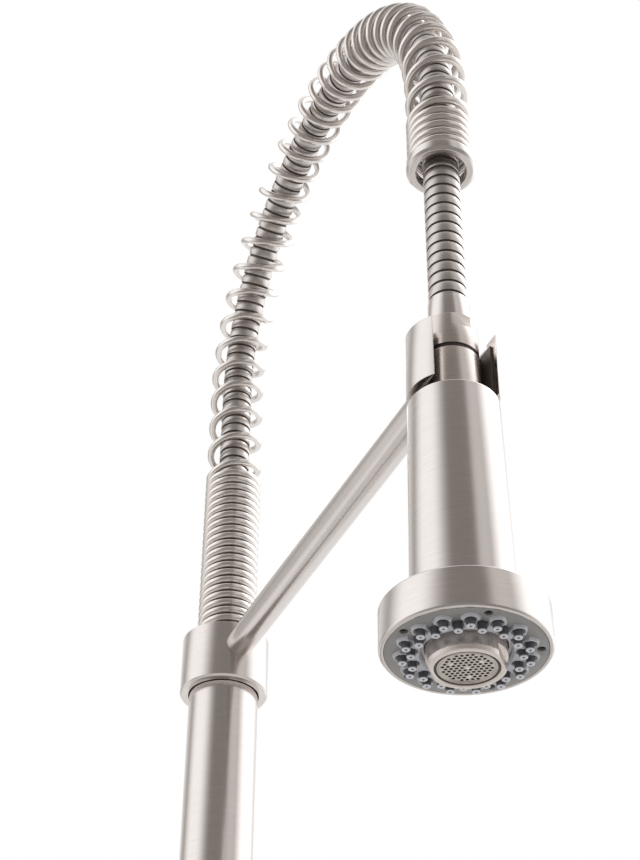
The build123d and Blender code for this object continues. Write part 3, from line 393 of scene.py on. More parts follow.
def jet_rubber_painted_light(name, colour, tip_level, foot_level):
    """Soft jets: dull, with painted shade darkening their sides and a painted highlight round the mouth;
    the painted shade eases off towards the foot.
    """
    made, sheet = material(name)
    source = sheet.node("ShaderNodeTexCoord", output="Object")
    level = sheet.node("ShaderNodeSeparateXYZ", inputs={"Vector": source}, output="Z")
    # Painted shade: the sides above the mouth go dark, and the mouth stays light as a painted highlight.
    side = sheet.smooth(level, tip_level, tip_level + 0.5 * MM)
    fine = sheet.noise(sheet.place(), 1800.0, 2.0)
    # The painted shade eases off towards the foot of each jet.
    foot = sheet.smooth(level, foot_level - 1.6 * MM, foot_level, 1.0, 0.62)
    shade = side * foot
    sheet.surface(
        # Painted highlight at 1.2 times the mat colour, painted shade at 0.15 times it.
        Base_Color=sheet.blend_colours(shade, rgba(colour, 1.2), rgba(colour, 0.15)),
        Roughness=0.42 + fine * 0.12,
        Normal=sheet.bump(fine, 0.2, 0.00003),
    )
    return made


def counter_stone(name, colour):
    """Pale even counter."""
    made, sheet = material(name)
    cloud = sheet.noise(sheet.place(), 14.0, 4.0)
    fleck = sheet.noise(sheet.place(), 900.0, 2.0)
    tone = cloud * 0.6 + fleck * 0.4
    sheet.surface(
        Base_Color=sheet.blend_colours(tone, rgba(colour, 0.96), rgba(colour, 1.03)),
        Roughness=0.45 + fleck * 0.1,
    )
    return made


# Mesh work


def turned(outline, centre_y=0.0, steps=96):
    """A closed outline of (radius, height) spun round an upright axis."""
    bm = bmesh.new()
    points = [bm.verts.new((radius, centre_y, height)) for radius, height in outline]
    edges = [bm.edges.new(pair) for pair in zip(points, points[1:] + points[:1])]
    bmesh.ops.spin(
        bm,
        geom=points + edges,
        cent=(0, centre_y, 0),
        axis=(0, 0, 1),
        angle=2 * pi,
        steps=steps,
        use_merge=True,
    )
    bmesh.ops.remove_doubles(bm, verts=bm.verts, dist=1e-7)
    bmesh.ops.recalc_face_normals(bm, faces=bm.faces)
    return bm


def ring(inner, outer, low, high, centre_y=0.0, steps=96):
    """A round tube or, with no inner radius, a disc."""
    return turned([(inner, low), (outer, low), (outer, high), (inner, high)], centre_y, steps)


def soften(bm, width, segments=3, angle=24.0):
    """Rounds every edge sharper than an angle."""
    folds = [edge for edge in bm.edges if len(edge.link_faces) == 2]
    sharp = [edge for edge in folds if edge.calc_face_angle() > radians(angle)]
    bmesh.ops.bevel(
        bm,
        geom=sharp,
        offset=width,
        offset_type="OFFSET",
        segments=segments,
        profile=0.5,
        affect="EDGES",
        clamp_overlap=True,
        material=-1,
    )
    return bm


def thicken(bm, rise):
    """Raises the flat faces of a mesh to a plate."""
    risen = bmesh.ops.extrude_face_region(bm, geom=bm.faces[:])["geom"]
    verts = [item for item in risen if isinstance(item, bmesh.types.BMVert)]
    bmesh.ops.translate(bm, vec=(0, 0, rise), verts=verts)
    bmesh.ops.recalc_face_normals(bm, faces=bm.faces)


def aimed(place, way, along):
    """A placing that points one of its axes along a way."""
    return Matrix.Translation(place) @ way.to_track_quat(along, "Y").to_matrix().to_4x4()


def lay_along_x(bm, level):
    """Turns a piece made round Z to lie along +X at a level."""
    turn = Matrix.Translation((0, 0, level)) @ Matrix.Rotation(pi / 2, 4, "Y")
    bmesh.ops.transform(bm, matrix=turn, verts=bm.verts)
    return bm


def join(bm, other):
    """Adds a second mesh to the first."""
    spare = bpy.data.meshes.new("joined")
    other.to_mesh(spare)
    other.free()
    bm.from_mesh(spare)
    bpy.data.meshes.remove(spare)
    return bm


def block(low, high):
    """A box between two corners."""
    bm = bmesh.new()
    middle = [(a + b) / 2 for a, b in zip(low, high)]
    size = [b - a for a, b in zip(low, high)]
    place = Matrix.Translation(middle) @ Matrix.Diagonal((*size, 1.0))
    bmesh.ops.create_cube(bm, size=1.0, matrix=place)
    return bm


def carve(bm, cutter):
    """Takes a second mesh away from the first."""
    objects = []
    for part in (bm, cutter):
        mesh = bpy.data.meshes.new("carving")
        part.to_mesh(mesh)
        part.free()
        objects.append(bpy.data.objects.new("carving", mesh))
        bpy.context.scene.collection.objects.link(objects[-1])
    cut = objects[0].modifiers.new("cut", "BOOLEAN")
    cut.operation = "DIFFERENCE"
    cut.solver = "EXACT"
    cut.object = objects[1]
    graph = bpy.context.evaluated_depsgraph_get()
    result = bpy.data.meshes.new_from_object(objects[0].evaluated_get(graph))
    done = bmesh.new()
    done.from_mesh(result)
    for part in objects:
        bpy.data.objects.remove(part)
    bmesh.ops.remove_doubles(done, verts=done.verts, dist=1e-7)
    if not done.faces:
        raise RuntimeError("A cut left nothing of the piece")
    return done


def drill(bm, radius, start, end):
    """Takes a round hole between two points out of a mesh."""
    way = Vector(end) - Vector(start)
    place = aimed((Vector(start) + Vector(end)) / 2, way, "Z")
    hole = bmesh.new()
    bmesh.ops.create_cone(
        hole, cap_ends=True, segments=32, radius1=radius, radius2=radius, depth=way.length, matrix=place
    )
    return carve(bm, hole)


def flats(bm, reach, across, span, levels, angle):
    """Cuts two wrench flats into a round piece on the head's axis."""
    turn = Matrix.Translation((0, -reach, 0)) @ Matrix.Rotation(angle, 4, "Z")
    for near, far in ((across / 2, span), (-span, -across / 2)):
        cutter = block((near, -span, levels[0]), (far, span, levels[1]))
        bmesh.ops.transform(cutter, matrix=turn, verts=cutter.verts)
        bm = carve(bm, cutter)
    return bm


def copied(node):
    """A merged copy of a CAD node's mesh, with its flat parts as single faces."""
    bm = bmesh.new()
    bm.from_mesh(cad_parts[node].data)
    bmesh.ops.remove_doubles(bm, verts=bm.verts, dist=1e-6)
    bmesh.ops.dissolve_limit(bm, angle_limit=radians(0.5), verts=bm.verts, edges=bm.edges)
    return bm


CREASE = 32.0


def finished(name, bm, finish, crease=CREASE):
    """Makes the object of a mesh, with one finish or several."""
    if not bm.faces:
        raise RuntimeError(f"{name} has no faces")
    mesh = bpy.data.meshes.new(name)
    bm.to_mesh(mesh)
    bm.free()
    for part in finish if isinstance(finish, tuple) else (finish,):
        mesh.materials.append(part)
    mesh.shade_smooth()
    mesh.set_sharp_from_angle(angle=radians(crease))
    made = bpy.data.objects.new(name, mesh)
    bpy.context.scene.collection.objects.link(made)
    return made


def piece(name, bm, finish, body, nodes=(), crease=CREASE, bends=False):
    """Makes a finished piece, on its body and in place of its CAD nodes."""
    made = finished(name, bm, finish, crease)
    if bends:
        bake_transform(made)
    else:
        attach(made, body)
    if nodes:
        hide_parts(*nodes)
    return made


def arc(radius, start, end, steps, centre=(0.0, 0.0)):
    """Points along an arc, with angles in degrees from the first axis."""
    angles = [radians(start + (end - start) * k / steps) for k in range(steps + 1)]
    return [(centre[0] + radius * cos(a), centre[1] + radius * sin(a)) for a in angles]


# The line of the arch


class Line:
    """Straight up the column, over three arcs and straight down to the head."""

    def __init__(self, scene):
        sizes = scene.faucet_line
        self.reach = sizes.reach
        self.foot = COLLAR_LOW + sizes.foot_rise
        turns = [pi * sizes.first_turn, pi * sizes.second_turn]
        self.turns = turns + [pi - sum(turns)]
        self.starts = [0.0, self.turns[0], self.turns[0] + self.turns[1], pi]
        radii = [sizes.reach * sizes.first_radius, sizes.reach * sizes.second_radius]
        crossed = sum(r * (cos(self.starts[k]) - cos(self.starts[k + 1])) for k, r in enumerate(radii))
        radii.append((sizes.reach - crossed) / (cos(self.starts[2]) - cos(self.starts[3])))
        self.radii = radii
        self.length = sum(r * turn for r, turn in zip(self.radii, self.turns))
        self.drop = sum(
            r * (sin(self.starts[k + 1]) - sin(self.starts[k])) for k, r in enumerate(self.radii)
        )
        self.end = self.foot + self.drop

    def point(self, length):
        """Centre and heading at a length from the arch's foot."""
        if length <= 0:
            return Vector((0, 0, self.foot + length)), 0.0
        y = 0.0
        z = self.foot
        rest = length
        for k, radius in enumerate(self.radii):
            start = self.starts[k]
            here = min(rest / radius, self.turns[k])
            y -= radius * (cos(start) - cos(start + here))
            z += radius * (sin(start + here) - sin(start))
            if rest <= radius * self.turns[k]:
                return Vector((0, y, z)), start + here
            rest -= radius * self.turns[k]
        return Vector((0, -self.reach, self.end - rest)), pi

    def length_down_to(self, level):
        """Length from the arch's foot to a level on the head's side."""
        return self.length + self.end - level

    def bend(self, bm):
        """Bends a mesh made straight along Z on to the line."""
        run = bm.verts.layers.float.new("run")
        for vert in bm.verts:
            length = vert.co.z
            centre, heading = self.point(length)
            outward = Vector((0, cos(heading), sin(heading)))
            vert[run] = length
            vert.co = centre + Vector((vert.co.x, 0, 0)) + outward * vert.co.y
        return bm


OPEN_PITCH_SHARES = (1.269, 1.145, 1.127, 1.02, 0.992, 0.884, 0.733, 0.863, 1.0, 0.967)


class Winding:
    """Centre line of the spring's wire."""

    def __init__(self, scene):
        self.line = Line(scene)
        self.sizes = scene.faucet_spring
        self.radius = (self.sizes.outer - self.sizes.wire) / 2
        self.turns = self.sizes.lower_turns + self.sizes.open_turns + self.sizes.upper_turns
        ring_top = node_span("spring_end_ring")[2]
        self.start = COLLAR_TOP + self.sizes.wire / 2 - self.line.foot
        self.end = self.line.length_down_to(ring_top + self.sizes.wire / 2)

    def length(self, turn):
        sizes = self.sizes
        pitch = sizes.close_pitch
        if turn <= sizes.lower_turns:
            return self.start + turn * pitch
        if turn >= sizes.lower_turns + sizes.open_turns:
            return self.end - (self.turns - turn) * pitch
        shares = OPEN_PITCH_SHARES
        place = (turn - sizes.lower_turns) / sizes.open_turns * len(shares)
        whole = min(int(place), len(shares) - 1)
        reached = sum(shares[:whole]) + shares[whole] * (place - whole)
        close = (sizes.lower_turns + sizes.upper_turns) * pitch
        spread = self.end - self.start - close
        return self.start + sizes.lower_turns * pitch + spread * reached / sum(shares)

    def point(self, turn):
        centre, heading = self.line.point(self.length(turn))
        outward = Vector((0, cos(heading), sin(heading)))
        angle = 2 * pi * turn + self.sizes.start
        return centre + Vector((self.radius * cos(angle), 0, 0)) + outward * (self.radius * sin(angle))


def wire_tube(name, points, radius, sides):
    """A round tube along points, as a mesh."""
    curve = bpy.data.curves.new(name, "CURVE")
    curve.dimensions = "3D"
    curve.bevel_depth = radius
    curve.bevel_resolution = (sides - 4) // 2
    curve.use_fill_caps = True
    spline = curve.splines.new("POLY")
    spline.points.add(len(points) - 1)
    for place, point in zip(spline.points, points):
        place.co = (*point, 1.0)
    holder = bpy.data.objects.new(name, curve)
    bpy.context.scene.collection.objects.link(holder)
    mesh = bpy.data.meshes.new_from_object(holder)
    bpy.data.objects.remove(holder)
    bm = bmesh.new()
    bm.from_mesh(mesh)
    bpy.data.meshes.remove(mesh)
    return bm


# Stage


STUDIO_YAW = radians(23.39)
STUDIO_PITCH = radians(38.22)
STUDIO_ROLL = radians(0.45)
STUDIO_PLACE = (-0.2276, -0.6299, -0.1180)
STUDIO_LENS = 72.88
FRAME_HEIGHT = 36.0

ROOM_LEVEL = 0.17

# Soft panels round the object. Each has its direction from the camera's side,
# its half width and its soft edge, all in degrees, and its brightness.
PANELS = (
    (-78, 12, 45, 0.80),
    (45, 8, 15, 0.45),
    (110, 20, 45, 1.00),
    (180, 10, 70, 0.62),
)
STUDIO_LEVEL = 1.6
STUDIO_SHADE = (1.0, 0.93, 0.87, 1.0)
CEILING_EDGE = (0.86, 0.99)
CEILING_LEVEL = 0.60
FLOOR_EDGE = (-0.05, -0.40)
FLOOR_TURN = 0.45
FLOOR_FRONT_LEVEL = 0.20
FLOOR_BACK_LEVEL = 0.62
BACKDROP_EDGE = (0.44, 0.48)
LAMP_SIZE = 0.8
LAMP_TARGET = (0, -0.1, 0.3)


class FAUCET_OT_stage(bpy.types.Operator):
    """Camera, soft studio light and the pale counter"""

    bl_idname = "faucet.stage"
    bl_label = "Stage"

    def execute(self, context):
        scene = context.scene
        self.camera(scene)
        self.world(scene)
        self.lamps(scene)
        self.counter(scene)
        scene.view_settings.view_transform = "Standard"
        return {"FINISHED"}

    def camera(self, scene):
        right = Vector((cos(STUDIO_YAW), -sin(STUDIO_YAW), 0))
        flat = cos(STUDIO_PITCH)
        ahead = Vector((sin(STUDIO_YAW) * flat, cos(STUDIO_YAW) * flat, sin(STUDIO_PITCH)))
        up = right.cross(ahead)
        rolled_right = right * cos(STUDIO_ROLL) + up * sin(STUDIO_ROLL)
        rolled_up = up * cos(STUDIO_ROLL) - right * sin(STUDIO_ROLL)
        lens = bpy.data.cameras.new("camera")
        lens.sensor_fit = "VERTICAL"
        lens.sensor_height = FRAME_HEIGHT
        lens.lens = STUDIO_LENS
        lens.clip_start = 0.01
        camera = bpy.data.objects.new("camera", lens)
        axes = Matrix((rolled_right, rolled_up, -ahead)).transposed().to_4x4()
        camera.matrix_world = Matrix.Translation(STUDIO_PLACE) @ axes
        scene.collection.objects.link(camera)
        scene.camera = camera

    def world(self, scene):
        world = bpy.data.worlds.new("studio")
        world.use_nodes = True
        scene.world = world
        sheet = Sheet(world.node_tree)
        way = sheet.node("ShaderNodeTexCoord", output="Generated")
        front = (-sin(STUDIO_YAW), -cos(STUDIO_YAW), 0)
        right = (cos(STUDIO_YAW), -sin(STUDIO_YAW), 0)
        ahead = sheet.facing(way, front)
        aside = sheet.facing(way, right)
        turn = aside.math("ARCTAN2", aside, ahead) / (2 * pi) + 0.5
        panels = self.panels(sheet, turn)
        level = sheet.node("ShaderNodeSeparateXYZ", inputs={"Vector": way}, output="Z")
        above = sheet.smooth(level, *CEILING_EDGE)
        below = sheet.smooth(level, *FLOOR_EDGE)
        floor = sheet.smooth(ahead, FLOOR_TURN, -FLOOR_TURN, FLOOR_FRONT_LEVEL, FLOOR_BACK_LEVEL)
        walls = panels * (1.0 - above) * (1.0 - below) + above * CEILING_LEVEL + below * floor
        seen = sheet.node("ShaderNodeLightPath", output="Is Camera Ray")
        mirrored = sheet.node("ShaderNodeLightPath", output="Is Glossy Ray")
        passed = sheet.node("ShaderNodeLightPath", output="Is Transmission Ray")
        behind = sheet.smooth(turn.math("ABSOLUTE", turn - 0.5), *BACKDROP_EDGE) * (1.0 - below)
        shown = seen + (mirrored + passed) * behind
        strength = walls * STUDIO_LEVEL * (1.0 - shown) + shown
        pale = walls.math("MAXIMUM", sheet.smooth(walls, 0.1, 0.7), shown)
        tint = sheet.blend_colours(pale, STUDIO_SHADE, (1, 1, 1, 1))
        backdrop = sheet.node("ShaderNodeBackground", inputs={"Color": tint, "Strength": strength})
        sheet.node("ShaderNodeOutputWorld", inputs={"Surface": backdrop})

    def panels(self, sheet, turn):
        """The brightest of the panels that a direction meets, over the dark room."""
        brightest = ROOM_LEVEL
        for direction, half, edge, level in PANELS:
            apart = turn.math("ABSOLUTE", turn - (direction + 180) / 360)
            away = 0.5 - apart.math("ABSOLUTE", apart - 0.5)
            panel = sheet.smooth(away, (half + edge) / 360, half / 360, ROOM_LEVEL, level)
            brightest = panel.math("MAXIMUM", panel, brightest)
        return brightest

    def lamps(self, scene):
        for name, place, power in (
            ("key lamp", (1.10, -0.12, 1.70), 4.0),
            ("back lamp", (0.5, 1.2, 1.70), 1.5),
        ):
            lamp = bpy.data.lights.new(name, "AREA")
            lamp.size = LAMP_SIZE
            lamp.energy = power
            holder = bpy.data.objects.new(name, lamp)
            way = Vector(LAMP_TARGET) - Vector(place)
            holder.matrix_world = aimed(place, way, "-Z")
            scene.collection.objects.link(holder)

    def counter(self, scene):
        hole = 17.5 * MM
        edge = 340 * MM
        under = -20 * MM
        bm = ring(hole, edge, under, 0, steps=160)
        soften(bm, 2 * MM)
        stone = counter_stone("counter stone", scene.faucet_colours.counter)
        counter = finished("counter", bm, stone)


# Finishes


FINISHES = {}
# Darker nickel for the neck and the union nut: the darkening is painted shade of the clip over them.
NECK_NICKEL_PAINTED_SHADE = (0.66, 0.605, 0.57)
ROUND_Z = (110.0, 110.0, 3400.0)
ROUND_Y = (110.0, 3400.0, 110.0)
ROUND_X = (3400.0, 110.0, 110.0)
UPRIGHT_STREAKS = (900.0, 900.0, 40.0)


def make_finishes(scene):
    """Every material that the pieces use."""
    colours = scene.faucet_colours
    rim = node_span("nozzle_mat")
    FINISHES.update(
        {
            "nickel": turned_metal("brushed nickel, upright", colours.nickel, ROUND_Z),
            "nickel_y": turned_metal("brushed nickel, arm", colours.nickel, ROUND_Y),
            "nickel_x": turned_metal("brushed nickel, lever", colours.nickel, ROUND_X),
            "spring": drawn_wire("spring wire", colours.spring),
            "hose": strip_metal("hose strip", colours.nickel),
            # Dark finish for the hose's valleys and the disc behind the screen: painted shade in these
            # recesses.
            "seam": moulded("painted shade for seams and screen backing", (0.115, 0.09, 0.075), 0.6),
            "plated": bright_metal("plated housing", (0.84, 0.82, 0.79)),
            "steel": bright_metal("screw steel", (0.55, 0.54, 0.53), 0.25),
            # Near-black screw heads: painted shade for the shadowed screw holes.
            "screw": bright_metal("screws darkened as painted hole shade", (0.10, 0.095, 0.09), 0.45),
            # Neck and nut: a darker base colour as painted shade of the clip, and a rougher finish than the
            # nickel.
            "neck": turned_metal("brushed neck, painted clip shade", NECK_NICKEL_PAINTED_SHADE, ROUND_Z, 0.26),
            "barrel": turned_metal("turned barrel", (0.76, 0.70, 0.66), UPRIGHT_STREAKS, 0.40),
            "mesh": bright_metal("screen mesh", (0.60, 0.555, 0.505), 0.30),
            "brass": bright_metal("turned brass", (0.72, 0.56, 0.30), 0.22),
            "dark": moulded("dark plastic", colours.dark, 0.45),
            "channel": moulded("clip channel", (0.11, 0.085, 0.072), 0.38),
            "rubber": moulded("black rubber", (0.03, 0.03, 0.03), 0.65),
            "white": moulded("white plastic", (0.80, 0.80, 0.78), 0.4),
            "ceramic": moulded("ceramic", (0.88, 0.87, 0.84), 0.2, 3000.0, 0.00001, 0.1),
            "plate": moulded("textured face plate", colours.plate, 0.42, 2600.0, 0.00006, 0.5),
            "mat": moulded("soft jet mat", colours.mat, 0.4, 1800.0, 0.00003, 0.2),
            # Jets: the mat's colour with painted light, a highlight at the mouth and shade on the sides.
            "jets": jet_rubber_painted_light("soft jets with painted light", colours.mat, rim[1], rim[1] + 4.3 * MM),
            "liner": moulded("water hose", (0.72, 0.75, 0.79), 0.45),
            "plug": moulded("lever plug", (0.30, 0.30, 0.31), 0.25, 2500.0, 0.00001, 0.1),
        }
    )


# Pieces


class FAUCET_OT_column(bpy.types.Operator):
    """Column, collar and the arm"""

    bl_idname = "faucet.column"
    bl_label = "Column and arm"

    def execute(self, context):
        nickel = FINISHES["nickel"]
        reach = context.scene.faucet_line.reach
        bore = COLUMN_R - 1.5 * MM
        tube = ring(bore, COLUMN_R, COLUMN_LOW, COLUMN_TOP)
        piece("column_tube", soften(tube, 0.3 * MM), nickel, "base", ["riser_column"])

        gap = COLUMN_R + 0.4 * MM
        inner = 12.05 * MM
        lip = 0.8 * MM
        seat = COLLAR_TOP - 3 * MM
        sleeve = turned(
            [
                (gap, COLLAR_LOW),
                (COLLAR_R - lip, COLLAR_LOW),
                (COLLAR_R, COLLAR_LOW + lip),
                (COLLAR_R, COLLAR_TOP - lip),
                (COLLAR_R - lip, COLLAR_TOP),
                (inner, COLLAR_TOP),
                (inner, seat),
                (gap, seat),
            ],
            steps=128,
        )
        screw = COLLAR_LOW + 12 * MM
        sleeve = drill(sleeve, 2.05 * MM, (0, COLUMN_R, screw), (0, COLLAR_R + 1 * MM, screw))
        piece("collar_sleeve", soften(sleeve, 0.22 * MM), nickel, "spout", ["arm_collar"])

        low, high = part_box("holder_arm")
        radius = (high.x - low.x) / 2
        wall = 1.5 * MM
        start = sqrt(COLLAR_R**2 - radius**2) - wall
        end = reach - sqrt(CLIP_R**2 - radius**2) + wall
        bar = ring(0, radius, start, end, steps=72)
        turn = Matrix.Translation((0, 0, (low.z + high.z) / 2)) @ Matrix.Rotation(pi / 2, 4, "X")
        bmesh.ops.transform(bar, matrix=turn, verts=bar.verts)
        piece("arm_bar", bar, FINISHES["nickel_y"], "spout", ["holder_arm"])
        return {"FINISHED"}


class FAUCET_OT_clip(bpy.types.Operator):
    """Clip that holds the spray head"""

    bl_idname = "faucet.clip"
    bl_label = "Clip"

    def execute(self, context):
        reach = context.scene.faucet_line.reach
        inner = CLIP_R - 3.2 * MM
        mouth = 12.4 * MM
        bm = ring(inner, CLIP_R, CLIP_LOW, CLIP_TOP, -reach, 128)
        margin = 1 * MM
        cutter = block(
            (-mouth, -reach - CLIP_R - margin, CLIP_LOW - margin), (mouth, -reach, CLIP_TOP + margin)
        )
        bm = soften(carve(bm, cutter), 0.35 * MM, 3)
        piece("clip_shell", bm, FINISHES["nickel"], "spout", ["holder_clip"])
        self.channel(reach)
        return {"FINISHED"}

    def channel(self, reach):
        """Thin dark channel in the clip, its walls a little behind the clip's ends."""
        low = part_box("clip_liner")[0].z
        high = CLIP_TOP - 3.2 * MM
        outer = 13.05 * MM
        side = 12.35 * MM
        inner = 10.4 * MM
        wall = side - 0.7 * MM
        tip = 7.5 * MM
        start = -asin(sqrt(outer**2 - side**2) / outer) * 180 / pi
        outline = arc(outer, start, 180 - start, 48) + [(-side, -tip), (-wall, -tip), (-wall, 0)]
        outline += arc(inner, 180, 0, 40) + [(wall, 0), (wall, -tip), (side, -tip)]
        bm = bmesh.new()
        verts = [bm.verts.new((x, y - reach, low)) for x, y in outline]
        bm.faces.new(verts)
        thicken(bm, high - low)
        soften(bm, 0.12 * MM, 2, 40.0)
        piece("clip_channel", bm, FINISHES["channel"], "spout", ["clip_liner"])


class FAUCET_OT_spring(bpy.types.Operator):
    """Wire spring and its end ring"""

    bl_idname = "faucet.spring"
    bl_label = "Spring"

    steps: IntProperty(name="Steps", description="Points in each turn", default=32)

    def execute(self, context):
        winding = Winding(context.scene)
        count = winding.turns * self.steps
        points = [winding.point(k / self.steps) for k in range(count + 1)]
        sides = 14
        bm = wire_tube("winding", points, winding.sizes.wire / 2, sides)
        wire = FINISHES["spring"]
        piece("spring_wire", bm, wire, "spout", ["support_spring"], bends=True)

        reach = context.scene.faucet_line.reach
        radius, low, high = node_span("spring_end_ring")
        bore = 9.9 * MM
        edge = 1.2 * MM
        bm = turned(
            [
                (bore, low),
                (radius - edge, low),
                (radius, low + edge),
                (radius, high - 0.4 * MM),
                (radius - 0.4 * MM, high),
                (bore, high),
            ],
            -reach,
        )
        soften(bm, 0.45 * MM, 4)
        nickel = FINISHES["nickel"]
        piece("spring_ring", bm, nickel, "spout", ["spring_end_ring"], bends=True)
        return {"FINISHED"}


NUT_FLAT_TURN = radians(-92.4)


class FAUCET_OT_hose(bpy.types.Operator):
    """Strip-wound hose, its water hose, ferrule and nut"""

    bl_idname = "faucet.hose"
    bl_label = "Hose"

    def execute(self, context):
        scene = context.scene
        line = Line(scene)
        sizes = scene.faucet_hose
        end_level = node_span("hose_ferrule")[2] - 8.9 * MM
        tail = node_span("hose_tail")[1] + 5.2 * MM
        first = tail - line.foot
        last = line.length_down_to(end_level)
        pitch = (last - first) / sizes.ribs
        crest = sizes.outer / 2
        valley = crest - sizes.seam
        bore = 5.5 * MM
        sides = 40
        profile = (
            (0.0, valley),
            (0.08, valley),
            (0.11, crest - 0.18 * MM),
            (0.20, crest),
            (0.52, crest),
            (0.78, crest - 0.07 * MM),
            (0.87, crest - 0.24 * MM),
            (0.90, valley),
        )
        outline = []
        for rib in range(sizes.ribs):
            outline += [(radius, first + (rib + share) * pitch) for share, radius in profile]
        outline += [(valley, last), (bore, last), (bore, first)]
        bm = turned(outline, steps=sides)
        # Faces down in the valleys between the ribs take the dark seam finish, painted shade in the
        # recesses.
        for face in bm.faces:
            middle = face.calc_center_median()
            face.material_index = 1 if hypot(middle.x, middle.y) < crest - 0.32 * MM else 0
        long_edges = sorted(bm.edges, key=lambda edge: edge.calc_length())[-sides:]
        bmesh.ops.subdivide_edges(bm, edges=long_edges, cuts=sizes.ribs)
        bm = line.bend(bm)
        bmesh.ops.recalc_face_normals(bm, faces=bm.faces)
        finish = (FINISHES["hose"], FINISHES["seam"])
        piece("strip_hose", bm, finish, "spout", ["flexible_hose"], 50.0, bends=True)

        stations = 160
        outer = 5.2 * MM
        inner = 3.5 * MM
        rise = (last - first) / stations
        outline = [(outer, first + k * rise) for k in range(stations + 1)]
        outline += [(inner, last - k * rise) for k in range(stations + 1)]
        bm = line.bend(turned(outline, steps=24))
        bmesh.ops.recalc_face_normals(bm, faces=bm.faces)
        piece("water_hose", bm, FINISHES["liner"], "spout", ["inner_hose"], bends=True)
        self.end_fittings(line.reach)
        return {"FINISHED"}

    def end_fittings(self, reach):
        nickel = FINISHES["nickel"]
        low, high = node_span("hose_ferrule")[1:]
        bore = 3 * MM
        stem = 5 * MM
        flange = 8.25 * MM
        outer = 7.7 * MM
        lip = 1.6 * MM
        top = NUT_TOP
        socket = 7.15 * MM
        depth = 9.2 * MM
        bm = turned(
            [
                (bore, low),
                (stem, low),
                (stem, top - 5 * MM),
                (flange, top - 5 * MM),
                (flange, top - 3 * MM),
                (6 * MM, top - 3 * MM),
                (6 * MM, top),
                (outer, top),
                (outer, high - lip),
                (outer - 0.25 * MM, high - lip),
                (outer - 0.25 * MM, high),
                (socket, high),
                (socket, high - depth),
                (bore, high - depth),
            ],
            -reach,
        )
        soften(bm, 0.12 * MM)
        piece("crimp_ferrule", bm, nickel, "hose_end", ["hose_ferrule"])

        cavity = 8.3 * MM
        outer = 10 * MM
        edge = 0.8 * MM
        collar = 6.05 * MM
        roof = NUT_TOP - 3 * MM
        bm = turned(
            [
                (cavity, NUT_LOW),
                (outer, NUT_LOW),
                (outer, NUT_TOP - edge),
                (outer - edge, NUT_TOP),
                (collar, NUT_TOP),
                (collar, roof),
                (cavity, roof),
            ],
            -reach,
        )
        levels = (NUT_TOP - 6 * MM, NUT_TOP + 1 * MM)
        bm = soften(flats(bm, reach, 18.5 * MM, 14 * MM, levels, NUT_FLAT_TURN), 0.18 * MM, 2)
        # The union nut takes the neck's finish, its darker colour painted shade.
        piece("union_nut", bm, FINISHES["neck"], "hose_end", ["swivel_nut"])

        radius, low, high = node_span("nut_seal")
        bm = ring(cavity, radius, low, high, -reach)
        soften(bm, 0.1 * MM)
        piece("union_seal", bm, FINISHES["dark"], "hose_end", ["nut_seal"])


class FAUCET_OT_head(bpy.types.Operator):
    """Neck, shell and bell of the spray head"""

    bl_idname = "faucet.head"
    bl_label = "Spray head"

    def execute(self, context):
        reach = context.scene.faucet_line.reach
        sizes = context.scene.faucet_head
        nickel = FINISHES["nickel"]
        neck = sizes.neck / 2
        shoulder = sizes.shoulder / 2
        stub = 8.25 * MM
        bore = 5.05 * MM
        low, high = (corner.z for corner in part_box("head_neck"))
        neck_top = high - 8.5 * MM
        bm = turned(
            [
                (bore, low), (stub, low), (stub, BODY_TOP), (neck, BODY_TOP),
                (neck, neck_top), (stub, neck_top), (stub, high), (bore, high),
            ],
            -reach,
        )
        soften(bm, 0.3 * MM)
        piece("neck_sleeve", bm, FINISHES["neck"], "spray_head", ["head_neck"])

        edge = 0.7 * MM
        wall = 1.6 * MM
        roof = BODY_TOP - 3 * MM
        bm = turned(
            [
                (stub + 0.05 * MM, roof),
                (stub + 0.05 * MM, BODY_TOP),
                (shoulder - edge, BODY_TOP),
                (shoulder, BODY_TOP - edge),
                (BODY_R, BODY_LOW),
                (BODY_R - wall, BODY_LOW),
                (shoulder - wall, roof),
            ],
            -reach,
            steps=128,
        )
        piece("head_shell", soften(bm, 0.28 * MM), nickel, "spray_head", ["head_body"])

        pivot = 13.05 * MM
        wall = 1.7 * MM
        roof = BELL_TOP - 2 * MM
        bm = turned(
            [
                (pivot, BELL_TOP),
                (BELL_R - 0.8 * MM, BELL_TOP),
                (BELL_R, BELL_TOP - 0.8 * MM),
                (BELL_R, RIM_LOW + 0.8 * MM),
                (BELL_R - 0.6 * MM, RIM_LOW),
                (BELL_R - wall, RIM_LOW),
                (BELL_R - wall, roof),
                (pivot, roof),
            ],
            -reach,
            steps=160,
        )
        piece("bell_shell", soften(bm, 0.3 * MM), nickel, "spray_bell", ["head_bell"])
        return {"FINISHED"}


